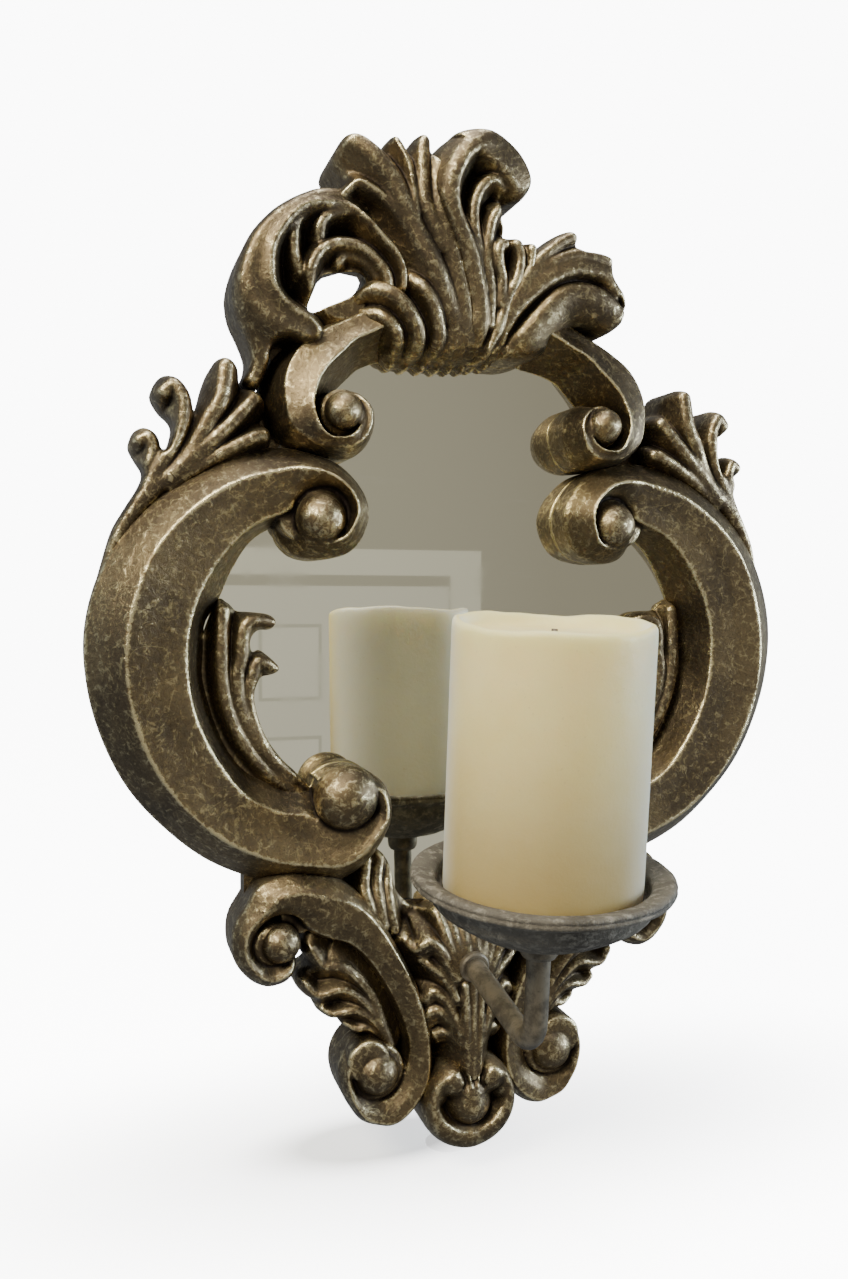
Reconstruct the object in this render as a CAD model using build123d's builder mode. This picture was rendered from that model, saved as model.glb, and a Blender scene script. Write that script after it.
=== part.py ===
from build123d import *
import math
import os

os.makedirs("parts", exist_ok=True)

# Wall sconce: an ornate cast frame round a mirror, with a bent arm that carries a candle dish.
# X runs to the viewer's right, Z up, and the wall is the plane Y = 0, with the room towards -Y.
# The origin lies on the wall, midway between the two hanging keyholes. Lengths are in mm.
# "Depth" is the distance from the wall, so a point of depth d lies at Y = -d.

# ---- driving dimensions -------------------------------------------------------------------
FACE = 11.0               # depth of the slab's front, where the relief and the glass front begin
GLASS = 3.0               # thickness of the mirror glass
BOARD = 3.0               # thickness of the backing board
LEDGE = 5.0               # depth of the shallow recesses that the turn buttons swing in
POCKET_GAP = 0.5          # clearance round the glass in its pocket
SLAB_INSET = 2.0          # how far the slab's edge stands inside the relief's

HANGER_X = 137.0          # half the spacing of the hanging keyholes
HANGER_SIZE = (14.0, 40.0)
HANGER_PLATE = 1.5
KEY_RADIUS = 4.5
KEY_SLOT = 4.4
HEAD_POCKET = 9.5         # depth of the hollow behind each keyhole

BUTTON_LENGTH = 22.0
BUTTON_WIDTH = 9.0
BUTTON_PLATE = 1.2
BUTTON_GAP = 0.3
SCREW_RADIUS = 1.5

SOCKET = (0.0, -36.4, -166.5)   # front of the arm's socket
ARM_TILT = 4.5            # degrees that the arm and the dish lean down and forwards
ARM_YAW = 1.5             # degrees that the arm stands off square
ARM_REACH = 61.0          # from the socket to the dish's axis
ARM_DROP = 5.0            # how far the arm falls before it turns up
ARM_RADIUS = 4.75
ARM_BEND = 9.0
STUD_RADIUS = 3.0
STUD_LENGTH = 33.0
RIM_HEIGHT = 65.4         # from the socket's axis up to the dish's rim

RIM_RADIUS = 50.5
WELL_RADIUS = 41.0
CANDLE_RADIUS = 38.1
CANDLE_TOP = 96.3         # above the rim
CANDLE_FOOT = 10.5        # below the rim
WICK_TIP = 92.5           # above the rim, so it ends inside the candle's hollow top
WICK_LENGTH = 22.0
WICK_RADIUS = 1.0

# ---- planes -------------------------------------------------------------------------------
tilt, yaw = math.radians(ARM_TILT), math.radians(ARM_YAW)
forward = Vector(math.sin(yaw) * math.cos(tilt), -math.cos(yaw) * math.cos(tilt), -math.sin(tilt))
right = Vector(math.cos(yaw), math.sin(yaw), 0)
arm_side = Plane(origin=SOCKET, x_dir=forward, z_dir=-right)   # local x forwards, local y up
arm_end = Plane(origin=SOCKET, x_dir=right, z_dir=forward)     # looks along the arm
dish_centre = arm_side.from_local_coords(Vector(ARM_REACH, RIM_HEIGHT, 0))
dish_side = Plane(origin=dish_centre, x_dir=right, z_dir=forward)  # local y up the candle
dish_axis = Axis(dish_centre, dish_side.y_dir)
relief = Plane.XZ.offset(FACE)                                 # where the relief begins
mid = Plane.YZ


# ---- shapes that repeat -------------------------------------------------------------------
def section_plane(x, z, angle):
    """A plane square to the wall. Its local x points out at the angle (0 is -X, 90 is +Z)
    and its local y is the depth from the wall."""
    a = math.radians(angle)
    out = Vector(-math.cos(a), 0, math.sin(a))
    return Plane(origin=(x, 0, z), x_dir=out, z_dir=(out.Z, 0, -out.X))


def sweep_sections(sections):
    """A solid through a row of outlines, each given as (plane, points)."""
    with BuildPart() as body:
        for plane, points in sections:
            with BuildSketch(plane):
                with BuildLine():
                    Polyline(*points, close=True)
                make_face()
        loft(ruled=True)
    return body.part


def scroll_arc(centre, stations, depths):
    """A bevelled scroll round a centre. A station is (angle, outer edge, ridge, crease, foot),
    all four as radii; depths are those of the outer edge, the ridge and the crease."""
    edge_depth, ridge_depth, crease_depth = depths
    sections = []
    for angle, edge, ridge, crease, foot in stations:
        points = [(foot, FACE), (crease, crease_depth), (ridge, ridge_depth), (edge, edge_depth),
                  (edge, FACE)]
        sections.append((section_plane(*centre, angle), points))
    return sweep_sections(sections)


def vane(stations):
    """A leaf rib or a rounded bar along a line. A station is (x, z, half width, crest depth)."""
    sections = []
    last = len(stations) - 1
    for i, (x, z, half, crest) in enumerate(stations):
        x0, z0 = stations[max(i - 1, 0)][:2]
        x1, z1 = stations[min(i + 1, last)][:2]
        heading = math.degrees(math.atan2(z1 - z0, x1 - x0))
        rise = crest - FACE
        points = [(-half, FACE), (-half, FACE + 0.45 * rise), (-0.45 * half, FACE + 0.9 * rise),
                  (0, crest), (0.45 * half, FACE + 0.9 * rise), (half, FACE + 0.45 * rise), (half, FACE)]
        sections.append((section_plane(x, z, 90 - heading), points))
    return sweep_sections(sections)


def volute(centre, radius, depth, ball_centre, ball_radius, ball_depth):
    """A scroll's curled end: a bevelled disc with a ball in its eye."""
    with BuildPart() as body:
        with BuildSketch(relief):
            with Locations(centre):
                Circle(radius)
        extrude(amount=depth - FACE)
        chamfer(body.faces().sort_by(Axis.Y)[0].edges(), 4)
        with BuildSketch(Plane.XZ.offset(depth)):
            with Locations(ball_centre):
                Circle(ball_radius + 3)
        extrude(amount=-6, mode=Mode.SUBTRACT)
        with Locations((ball_centre[0], -(ball_depth - ball_radius), ball_centre[1])):
            Sphere(ball_radius)
    return body.part


def disc(centre, radius, start, end):
    """A cylinder between two depths."""
    with BuildPart() as body:
        with BuildSketch(Plane.XZ.offset(start)):
            with Locations(centre):
                Circle(radius)
        extrude(amount=end - start)
    return body.part


def finish(part, name):
    """Labels a piece and writes it."""
    part.label = name
    export_step(part, f"parts/{name}.step")


def finish_pair(left, name):
    """Writes a left piece and its mirror image."""
    with BuildPart() as other:
        mirror(left, about=mid)
    finish(left, f"{name}_left")
    finish(other.part, f"{name}_right")
    return other.part


# ---- main C-scrolls -----------------------------------------------------------------------
C_CENTRE = (-75, -33)
C_STATIONS = (
    (96, 91.5, 82, 66, 63), (84, 93.5, 83, 65, 61), (70, 95, 82, 63, 57), (55, 93.5, 80, 58, 49),
    (40, 92.5, 78, 54, 43.5), (25, 91, 75, 51, 43), (10, 89.5, 73, 49, 40), (-5, 87.5, 72, 48, 40),
    (-20, 86.5, 72, 48.5, 40), (-35, 87, 73, 50, 42), (-50, 88, 75, 53, 46), (-65, 91, 78, 58, 50),
    (-80, 94, 81, 63.5, 57), (-92, 95.5, 83.5, 65, 61), (-102, 95, 83, 67, 64))
C_DEPTHS = (14, 33, 27.5)
C_TOP_DISC = ((-67, 34), 20.5)
C_FOOT_DISC = ((-60, -100), 24.5)

with BuildPart() as c_scroll:
    add(scroll_arc(C_CENTRE, C_STATIONS, C_DEPTHS))
    add(volute(*C_TOP_DISC, 38, (-67, 30), 10, 41))
    add(volute(*C_FOOT_DISC, 35, (-57, -88), 13, 40))

# ---- upper C-scrolls, from the crest down to the volutes over the main scrolls ---------------
UPPER_CENTRE = (-44, 78)
UPPER_STATIONS = (
    (97, 45, 41, 33, 18), (80, 43.5, 39, 30, 17), (65, 43.5, 37.5, 28, 17), (50, 46, 38.5, 27, 17),
    (35, 48, 39.5, 27, 17.5), (20, 48.5, 41, 27, 17.5), (5, 47.5, 41, 27.5, 17.5),
    (-10, 44, 39.5, 27.5, 17.5))
UPPER_DEPTHS = (18, 30, 35)
UPPER_DISC = ((-65, 70), 16)

with BuildPart() as upper_scroll:
    add(scroll_arc(UPPER_CENTRE, UPPER_STATIONS, UPPER_DEPTHS))
    add(volute(*UPPER_DISC, 41, (-61, 73), 7.5, 45))
    add(c_scroll.part, mode=Mode.SUBTRACT)

# ---- lower S-scrolls ------------------------------------------------------------------------
S_BAR = (
    (-86, -137, 11, 28), (-76, -135, 12.5, 31), (-64, -137, 13, 32), (-54, -145, 12, 32),
    (-45, -156, 11, 32),
    (-37, -169, 9.5, 32), (-31, -182, 8, 31), (-27, -196, 7, 30), (-26, -208, 6.5, 29))
S_TOP_DISC = ((-90, -149), 16)
S_FOOT_DISC = ((-40, -213), 20)

with BuildPart() as s_scroll:
    add(vane(S_BAR))
    add(volute(*S_TOP_DISC, 29, (-86, -151), 6.5, 33))
    add(volute(*S_FOOT_DISC, 29, (-42, -212), 9, 32))
    add(c_scroll.part, mode=Mode.SUBTRACT)

# ---- crest ----------------------------------------------------------------------------------
with BuildPart() as crest_curl:
    add(vane([(2, 98, 6, 30), (3, 126, 8, 36), (-3, 150, 9, 42), (-5, 172, 11, 46), (2, 186, 11, 48),
              (13, 187, 9, 50), (20, 178, 7, 49), (20, 170, 4, 46)]))

with BuildPart() as crest_plume:
    add(vane([(-12, 97, 6, 30), (-17, 132, 7, 36), (-28, 156, 8, 39), (-40, 173, 9, 40),
              (-54, 181, 6, 38)]))
    add(vane([(-8, 97, 5, 30), (-15, 140, 6, 37), (-28, 165, 6, 40), (-35, 186, 4, 40)]))
    add(vane([(-4, 97, 5, 30), (-10, 140, 6, 38), (-20, 165, 6, 41), (-22, 188, 4, 41)]))
    add(vane([(-26, 148, 6, 36), (-42, 164, 6, 38), (-57, 167, 4, 37)]))
    add(crest_curl.part, mode=Mode.SUBTRACT)

with BuildPart() as crest_leaf_left:
    add(vane([(-36, 128, 12, 32), (-50, 146, 13, 36), (-70, 152, 12, 38), (-86, 143, 12, 38),
              (-94, 128, 11, 36), (-91, 114, 10, 33), (-80, 109, 5, 30)]))
    add(vane([(-97, 118, 5, 26), (-97, 104, 7, 24), (-96, 92, 5, 22), (-98, 84, 3, 20)]))
    add(vane([(-34, 128, 6, 32), (-46, 138, 5, 33), (-60, 141, 4, 33), (-70, 133, 3, 31)]))
    for piece in (crest_plume, upper_scroll):
        add(piece.part, mode=Mode.SUBTRACT)

with BuildPart() as crest_leaf_right:
    add(vane([(10, 97, 7, 30), (20, 116, 9, 36), (36, 131, 9, 40), (52, 135, 10, 42), (66, 128, 7, 41)]))
    add(vane([(12, 120, 5, 34), (26, 139, 6, 40), (42, 153, 4, 41)]))
    add(vane([(18, 122, 5, 34), (42, 143, 6, 41), (60, 147, 4, 41)]))
    add(vane([(12, 122, 4, 34), (17, 140, 5, 38), (16, 158, 5, 40)]))
    add(crest_curl.part, mode=Mode.SUBTRACT)
    add(mirror(upper_scroll.part, about=mid, mode=Mode.PRIVATE), mode=Mode.SUBTRACT)

with BuildPart() as crest_band:
    for x, z, lean in ((-35, 93, -10), (-25, 92, -6), (-15, 91, -3), (-4, 91, 0), (7, 93, 2)):
        add(vane([(x, z, 5.5, 25), (x + lean * 0.3, z + 14, 6, 30), (x + lean * 0.5, z + 38, 5, 32)]))
    for piece in (crest_curl, crest_plume, crest_leaf_left, crest_leaf_right, upper_scroll):
        add(piece.part, mode=Mode.SUBTRACT)

# ---- leaf sprigs ----------------------------------------------------------------------------
with BuildPart() as side_sprig:
    add(vane([(-157, 8, 3, 19), (-148, 28, 4, 22), (-134, 45, 5, 26), (-121, 59, 6, 29), (-112, 74, 6, 31),
              (-107, 89, 4, 30)]))
    add(vane([(-148, 30, 4, 21), (-136, 48, 5, 24), (-128, 61, 5, 26), (-125, 72, 5, 26),
              (-130, 79, 3, 25)]))
    add(vane([(-156, 16, 3, 18), (-146, 36, 4, 21), (-139, 49, 4, 23), (-140, 58, 3, 22)]))
    add(vane([(-138, 42, 4, 24), (-120, 54, 5, 29), (-108, 63, 5, 31), (-97, 75, 3, 29)]))
    add(vane([(-132, 44, 4, 24), (-115, 54, 5, 29), (-104, 60, 5, 30), (-94, 65, 3, 28)]))
    for piece in (c_scroll, upper_scroll, crest_leaf_left):
        add(piece.part, mode=Mode.SUBTRACT)

with BuildPart() as inner_sprig:
    add(vane([(-80, -86, 4, 16), (-93, -75, 4, 18), (-105, -56, 4, 19), (-109, -33, 4, 20),
              (-107, -10, 3, 20)]))
    add(vane([(-78, -84, 4, 17), (-90, -70, 4, 19), (-101, -48, 4.5, 20), (-102, -28, 4.5, 21),
              (-95, -14, 4, 20)]))
    add(vane([(-78, -81, 3, 16), (-88, -68, 3.5, 18), (-96, -51, 4, 19), (-96, -37, 4, 19),
              (-91, -29, 3, 18)]))
    add(c_scroll.part, mode=Mode.SUBTRACT)

with BuildPart() as lower_leaf:
    add(vane([(-36, -200, 3, 23), (-44, -181, 5, 26), (-54, -168, 6, 27), (-67, -159, 5, 25)]))
    add(vane([(-36, -201, 3, 22), (-47, -185, 5, 25), (-58, -175, 6, 26), (-70, -173, 4, 24)]))
    add(vane([(-36, -202, 3, 21), (-48, -190, 5, 24), (-61, -184, 4, 22)]))
    add(s_scroll.part, mode=Mode.SUBTRACT)

# ---- palmette and bottom shell ----------------------------------------------------------------
with BuildPart() as palmette:
    add(vane([(0, -214, 6, 30), (0, -196, 8, 34), (0, -176, 9, 36), (0, -158, 9, 34)]))
    for side in (-1, 1):
        add(vane([(side * 4, -184, 4, 27), (side * 13, -172, 5, 30), (side * 28, -158, 4, 27)]))
        add(vane([(side * 4, -194, 4, 26), (side * 13, -183, 5, 29), (side * 24, -178, 4, 25)]))
        add(vane([(side * 4, -204, 4, 25), (side * 10, -193, 5, 28), (side * 20, -189, 4, 24)]))
        for reach in (5, 15, 26):
            add(vane([(side * reach * 0.4, -166, 4, 28), (side * reach * 0.8, -150, 5, 26),
                      (side * reach, -139, 4, 21)]))
    add(s_scroll.part, mode=Mode.SUBTRACT)
    add(mirror(s_scroll.part, about=mid, mode=Mode.PRIVATE), mode=Mode.SUBTRACT)

with BuildPart() as bottom_shell:
    add(volute((0, -230), 21.5, 32, (0, -231), 8.5, 38))
    for side in (-1, 1):
        with Locations((side * 11, -29, -216)):
            Sphere(6.5)
    with BuildSketch(Plane.XZ):
        with Locations((0, -228)):
            Rectangle(80, 60)
    extrude(amount=FACE, mode=Mode.SUBTRACT)
    add(palmette.part, mode=Mode.SUBTRACT)
    add(s_scroll.part, mode=Mode.SUBTRACT)
    add(mirror(s_scroll.part, about=mid, mode=Mode.PRIVATE), mode=Mode.SUBTRACT)

# ---- mirror glass and its backing board ------------------------------------------------------
# the right half of the glass, from the top centre round to the foot
GLASS_OUTLINE = ((0, 107), (46, 105), (72, 90), (86, 50), (117, 14), (128, -27), (117, -66), (90, -98),
                 (62, -118), (38, -139), (0, -143))


glass_points = [*GLASS_OUTLINE, *[(-x, z) for x, z in reversed(GLASS_OUTLINE[1:-1])]]


def glass_plate(depth, thickness, grow=0.0):
    """A plate with the glass's outline, or one grown by a clearance."""
    with BuildPart() as plate:
        with BuildSketch(Plane.XZ.offset(depth)):
            with BuildLine():
                Polyline(*glass_points, close=True)
            make_face()
            if grow:
                offset(amount=grow)
        extrude(amount=thickness)
    return plate.part


with BuildPart() as mirror_glass:
    add(glass_plate(FACE - GLASS, GLASS))
with BuildPart() as backing_board:
    add(glass_plate(FACE - GLASS - BOARD, BOARD))

# ---- cast back slab ---------------------------------------------------------------------------
# its outline behind each scroll is a polygon, and behind each volute a circle
CREST_OUTLINE = ((-40, 96), (-84, 100), (-97, 92), (-100, 112), (-98, 132), (-86, 148), (-68, 158),
                 (-52, 160),
                 (-50, 176), (-34, 182), (-20, 184), (2, 190), (18, 184), (16, 160), (42, 146), (64, 140),
                 (66, 124), (48, 124), (34, 108))
EYE_OUTLINE = ((-70, 117), (-71, 124), (-68, 131), (-61, 138), (-53, 141), (-45, 140), (-42, 134),
               (-48, 127),
               (-57, 121), (-65, 117))
FOOT_OUTLINE = ((0, -130), (44, -130), (62, -124), (82, -126), (62, -150), (52, -182), (40, -194),
                (20, -214),
                (0, -225))


def polar(centre, angle, radius):
    """A point at an angle and radius round a centre, on the left half."""
    a = math.radians(angle)
    return (centre[0] - radius * math.cos(a), centre[1] + radius * math.sin(a))


def rim_points(centre, stations):
    """The outer edge of a scroll, closed through its centre."""
    return [polar(centre, angle, edge) for angle, edge, *rest in stations] + [centre]


with BuildPart() as frame_back:
    with BuildSketch(Plane.XZ):
        for centre, stations in ((C_CENTRE, C_STATIONS), (UPPER_CENTRE, UPPER_STATIONS)):
            with BuildLine():
                Polyline(*rim_points(centre, stations), close=True)
            make_face()
        for centre, radius in (C_TOP_DISC, C_FOOT_DISC, UPPER_DISC, S_TOP_DISC, S_FOOT_DISC):
            with Locations(centre):
                Circle(radius)
        with Locations((-64, 66)):
            Rectangle(40, 40)
        with Locations((-82, -138)):
            Rectangle(30, 26)
        with BuildLine():
            Polyline(*[(-x, z) for x, z in FOOT_OUTLINE], close=True)
        make_face()
        mirror(about=Plane.YZ)
        with BuildLine():
            Polyline(*CREST_OUTLINE, close=True)
        make_face()
        with Locations((0, -230)):
            Circle(21.5)
        with Locations((0, -32)):
            Rectangle(200, 230)
        offset(amount=-SLAB_INSET)
        with BuildLine():
            Polyline(*EYE_OUTLINE, close=True)
        make_face(mode=Mode.SUBTRACT)
    extrude(amount=FACE)
    add(glass_plate(0, FACE, POCKET_GAP), mode=Mode.SUBTRACT)

# ---- turn buttons -----------------------------------------------------------------------------
# each pivot is (x, z, the angle at which its bar points in over the board)
BUTTONS = ((-112, 30, -58), (112, 30, 238), (-114, -80, 50), (114, -80, 130))
button_top = LEDGE - BUTTON_GAP - BUTTON_PLATE

for number, (x, z, angle) in enumerate(BUTTONS, start=1):
    with BuildPart() as turn_button:
        with BuildSketch(Plane.XZ.offset(button_top)):
            with Locations(Location((x, z, 0), (0, 0, angle))):
                with Locations((BUTTON_LENGTH / 2 - BUTTON_WIDTH / 2, 0)):
                    SlotOverall(BUTTON_LENGTH, BUTTON_WIDTH)
                Circle(SCREW_RADIUS + 0.2, mode=Mode.SUBTRACT)
        extrude(amount=BUTTON_PLATE)
    finish(turn_button.part, f"turn_button_{number}")

with BuildPart() as button_screws:
    for x, z, angle in BUTTONS:
        add(disc((x, z), SCREW_RADIUS, button_top - 0.3, FACE - 1.5))
        add(disc((x, z), 3.2, button_top - 1.8, button_top - 0.3))
        with BuildSketch(Plane.XZ.offset(button_top - 1.8)):
            with Locations((x, z)):
                Rectangle(5, 0.9)
                Rectangle(0.9, 5)
        extrude(amount=0.8, mode=Mode.SUBTRACT)

# ---- hanging plates ----------------------------------------------------------------------------
HANGER_SCREW_Z = (-15, 15)


def hanger(x):
    """A flush plate with a keyhole: the round entry on the origin's level, the slot above it."""
    with BuildPart() as plate:
        with BuildSketch(Plane.XZ):
            with Locations((x, 0)):
                SlotOverall(HANGER_SIZE[1], HANGER_SIZE[0], rotation=90)
                Circle(KEY_RADIUS, mode=Mode.SUBTRACT)
            with Locations((x, 5)):
                SlotOverall(10 + KEY_SLOT, KEY_SLOT, rotation=90, mode=Mode.SUBTRACT)
            with Locations((x, HANGER_SCREW_Z[0]), (x, HANGER_SCREW_Z[1])):
                Circle(SCREW_RADIUS, mode=Mode.SUBTRACT)
        extrude(amount=HANGER_PLATE)
    return plate.part


with BuildPart() as hanger_left:
    add(hanger(-HANGER_X))
with BuildPart() as hanger_right:
    add(hanger(HANGER_X))

with BuildPart() as hanger_screws:
    for x in (-HANGER_X, HANGER_X):
        for z in HANGER_SCREW_Z:
            add(disc((x, z), SCREW_RADIUS, 0.4, FACE - 1.5))

# ---- arm, its fixings and its socket ring ---------------------------------------------------------
with BuildPart() as dish_screw:
    with BuildSketch(dish_side):
        with BuildLine():
            Polyline((0, -33), (2, -33), (2, -23.5), (4.2, -23.5), (3.6, -21.6), (2, -20.8),
                     (0, -20.8), close=True)
        make_face()
    revolve(axis=dish_axis)

with BuildPart() as candle_arm:
    with BuildLine(arm_side) as route:
        FilletPolyline((-2, 0), (ARM_REACH, -ARM_DROP), (ARM_REACH, RIM_HEIGHT - 30.5), radius=ARM_BEND)
    with BuildSketch(Plane(origin=route.line @ 0, z_dir=route.line % 0)):
        Circle(ARM_RADIUS)
    sweep()
    with BuildSketch(arm_end.offset(-STUD_LENGTH)):
        Circle(STUD_RADIUS)
    extrude(amount=STUD_LENGTH - 2)
    add(dish_screw.part, mode=Mode.SUBTRACT)

with BuildPart() as socket_ring:
    with BuildSketch(arm_end.offset(-2)):
        Circle(ARM_RADIUS + 2)
    extrude(amount=3)
    chamfer(socket_ring.faces().sort_by(Axis.Y)[0].edges(), 0.8)
    add(candle_arm.part, mode=Mode.SUBTRACT)

nut_pocket = Plane(origin=arm_end.from_local_coords(Vector(0, 0, -STUD_LENGTH + 6)), z_dir=-forward)

with BuildPart() as arm_washer:
    with BuildSketch(nut_pocket):
        Circle(7)
        Circle(STUD_RADIUS, mode=Mode.SUBTRACT)
    extrude(amount=1.2)

with BuildPart() as arm_nut:
    with BuildSketch(nut_pocket.offset(1.2)):
        RegularPolygon(5.8, 6)
        Circle(STUD_RADIUS, mode=Mode.SUBTRACT)
    extrude(amount=4)

# ---- ferrule, dish and its screw ----------------------------------------------------------------
with BuildPart() as ferrule:
    with BuildSketch(dish_side):
        with BuildLine():
            Polyline((0, -34.5), (5.6, -34.5), (6.6, -34), (7.6, -32.5), (8, -30), (8, -27.2),
                     (0, -27.2), close=True)
        make_face()
    revolve(axis=dish_axis)
    for piece in (candle_arm, dish_screw):
        add(piece.part, mode=Mode.SUBTRACT)

with BuildPart() as drip_dish:
    with BuildSketch(dish_side):
        with BuildLine():
            Polyline((0, -27.2), (10, -27.2), (20, -24.8), (35, -18), (42, -13), (45, -6.5), (49, -4.2),
                     (RIM_RADIUS, -3), (RIM_RADIUS, -0.8), (49.6, 0), (46, -0.2),
                     (WELL_RADIUS, -2), (40.4, -9),
                     (33, -14.5), (19, -21), (10, -23.5), (0, -23.5), close=True)
        make_face()
    revolve(axis=dish_axis)
    with BuildSketch(Plane(origin=dish_centre, x_dir=right, z_dir=dish_side.y_dir).offset(-27.2)):
        Circle(2)
    extrude(amount=5, mode=Mode.SUBTRACT)

with BuildPart() as candle:
    with BuildSketch(dish_side):
        with BuildLine():
            Polyline((0, -CANDLE_FOOT), (CANDLE_RADIUS - 4, -CANDLE_FOOT),
                     (CANDLE_RADIUS, -CANDLE_FOOT + 4),
                     (CANDLE_RADIUS, CANDLE_TOP - 1), (CANDLE_RADIUS - 2, CANDLE_TOP),
                     (CANDLE_RADIUS - 6, CANDLE_TOP - 4), (0, CANDLE_TOP - 6), close=True)
        make_face()
    revolve(axis=dish_axis)

candle_level = Plane(origin=dish_centre, x_dir=right, z_dir=dish_side.y_dir)
with BuildPart() as wick:
    with BuildSketch(candle_level.offset(WICK_TIP - WICK_LENGTH)):
        Circle(WICK_RADIUS)
    extrude(amount=WICK_LENGTH)
with BuildPart() as candle_with_hole:
    add(candle.part)
    add(wick.part, mode=Mode.SUBTRACT)

# ---- pockets and holes in the castings -----------------------------------------------------------
with BuildPart() as slab:
    add(frame_back.part)
    for x, z, angle in BUTTONS:
        add(disc((x, z), BUTTON_LENGTH - BUTTON_WIDTH / 2 + 0.5, 0, LEDGE), mode=Mode.SUBTRACT)
    add(button_screws.part, mode=Mode.SUBTRACT)
    for x in (-HANGER_X, HANGER_X):
        with BuildSketch(Plane.XZ):
            with Locations((x, 0)):
                SlotOverall(HANGER_SIZE[1], HANGER_SIZE[0], rotation=90)
        extrude(amount=HANGER_PLATE, mode=Mode.SUBTRACT)
        with BuildSketch(Plane.XZ):
            with Locations((x, 3)):
                SlotOverall(20, KEY_RADIUS * 2, rotation=90)
        extrude(amount=HEAD_POCKET, mode=Mode.SUBTRACT)
    add(hanger_screws.part, mode=Mode.SUBTRACT)
    with BuildSketch(nut_pocket):
        Circle(9)
    extrude(amount=12, mode=Mode.SUBTRACT)
    with BuildSketch(arm_end.offset(-STUD_LENGTH)):
        Circle(STUD_RADIUS)
    extrude(amount=STUD_LENGTH, mode=Mode.SUBTRACT)

with BuildPart() as palmette_cast:
    add(palmette.part)
    with BuildSketch(arm_end.offset(-STUD_LENGTH)):
        Circle(ARM_RADIUS + 2)
    extrude(amount=STUD_LENGTH - 2)
    with BuildSketch(Plane.XZ):
        with Locations((0, -180)):
            Rectangle(90, 110)
    extrude(amount=FACE, mode=Mode.SUBTRACT)
    for piece in (candle_arm, socket_ring):
        add(piece.part, mode=Mode.SUBTRACT)
    with BuildSketch(arm_end.offset(-2)):
        Circle(ARM_RADIUS + 2)
    extrude(amount=20, mode=Mode.SUBTRACT)

# ---- write every piece -----------------------------------------------------------------------
band = crest_band.part.solids().sort_by(SortBy.VOLUME)[-1]
finish_pair(c_scroll.part, "c_scroll")
finish_pair(upper_scroll.part, "upper_scroll")
finish_pair(s_scroll.part, "s_scroll")
finish_pair(side_sprig.part, "side_sprig")
finish_pair(inner_sprig.part, "inner_sprig")
finish_pair(lower_leaf.part, "lower_leaf")
for piece, name in (
        (slab, "frame_back"), (crest_curl, "crest_curl"), (crest_plume, "crest_plume"),
        (crest_leaf_left, "crest_leaf_left"), (crest_leaf_right, "crest_leaf_right"),
        (palmette_cast, "palmette"), (bottom_shell, "bottom_shell"), (mirror_glass, "mirror_glass"),
        (backing_board, "backing_board"), (button_screws, "button_screws"), (hanger_left, "hanger_left"),
        (hanger_right, "hanger_right"), (hanger_screws, "hanger_screws"), (candle_arm, "candle_arm"),
        (socket_ring, "socket_ring"), (arm_washer, "arm_washer"), (arm_nut, "arm_nut"),
        (ferrule, "ferrule"),
        (drip_dish, "drip_dish"), (dish_screw, "dish_screw"), (candle_with_hole, "candle"), (wick, "wick")):
    finish(piece.part, name)
finish(band, "crest_band")
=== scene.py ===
import math
import bmesh
import bpy
import numpy as np
from mathutils import Matrix, Vector


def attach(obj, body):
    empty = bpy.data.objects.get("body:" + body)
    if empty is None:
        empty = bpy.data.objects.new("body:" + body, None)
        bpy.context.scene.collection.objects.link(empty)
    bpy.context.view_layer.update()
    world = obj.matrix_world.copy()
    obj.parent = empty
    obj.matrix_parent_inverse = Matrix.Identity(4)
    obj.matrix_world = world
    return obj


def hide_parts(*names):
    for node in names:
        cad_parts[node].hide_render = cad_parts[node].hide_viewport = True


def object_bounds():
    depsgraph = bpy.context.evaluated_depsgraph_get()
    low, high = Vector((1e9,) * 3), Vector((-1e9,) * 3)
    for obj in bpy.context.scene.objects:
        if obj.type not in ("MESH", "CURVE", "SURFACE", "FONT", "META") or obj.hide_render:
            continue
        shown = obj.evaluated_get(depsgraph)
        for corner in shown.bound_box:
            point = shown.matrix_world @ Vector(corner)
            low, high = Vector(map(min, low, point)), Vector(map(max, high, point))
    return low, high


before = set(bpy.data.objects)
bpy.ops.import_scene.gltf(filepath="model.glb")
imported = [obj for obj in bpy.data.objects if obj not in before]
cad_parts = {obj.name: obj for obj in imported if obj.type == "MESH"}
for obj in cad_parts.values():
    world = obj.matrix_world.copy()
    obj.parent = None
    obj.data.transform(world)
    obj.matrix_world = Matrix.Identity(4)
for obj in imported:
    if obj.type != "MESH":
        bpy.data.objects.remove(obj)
cad_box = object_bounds()

# Shapes are drawn in millimetres as (x, z, depth), where depth is the distance from the wall,
# and turned into metres in the frame's axes by to_world().
MM = 0.001
FACE = 10.9       # depth where the relief stands on the slab and the glass
BACK = 1.0        # depth that the relief's outer walls reach back to
SKIRT = 2.0       # thickness of those walls
THINNEST = 1.5    # a relief is nowhere thinner than this
SOFTENING = 3     # rounds of smoothing that a casting gets
SAME_PLACE = 1e-7     # points of a turned piece this close, in metres, are one; a casting's are 10 times that


# ---- camera --------------------------------------------------------------------------------------
CAMERA_PLACE = (-0.167, -0.4658, 0.0)
CAMERA_TURN = (18.36, -2.65, 0.27)     # yaw, pitch and roll in degrees
FOCAL_LENGTH = 29.74


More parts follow.
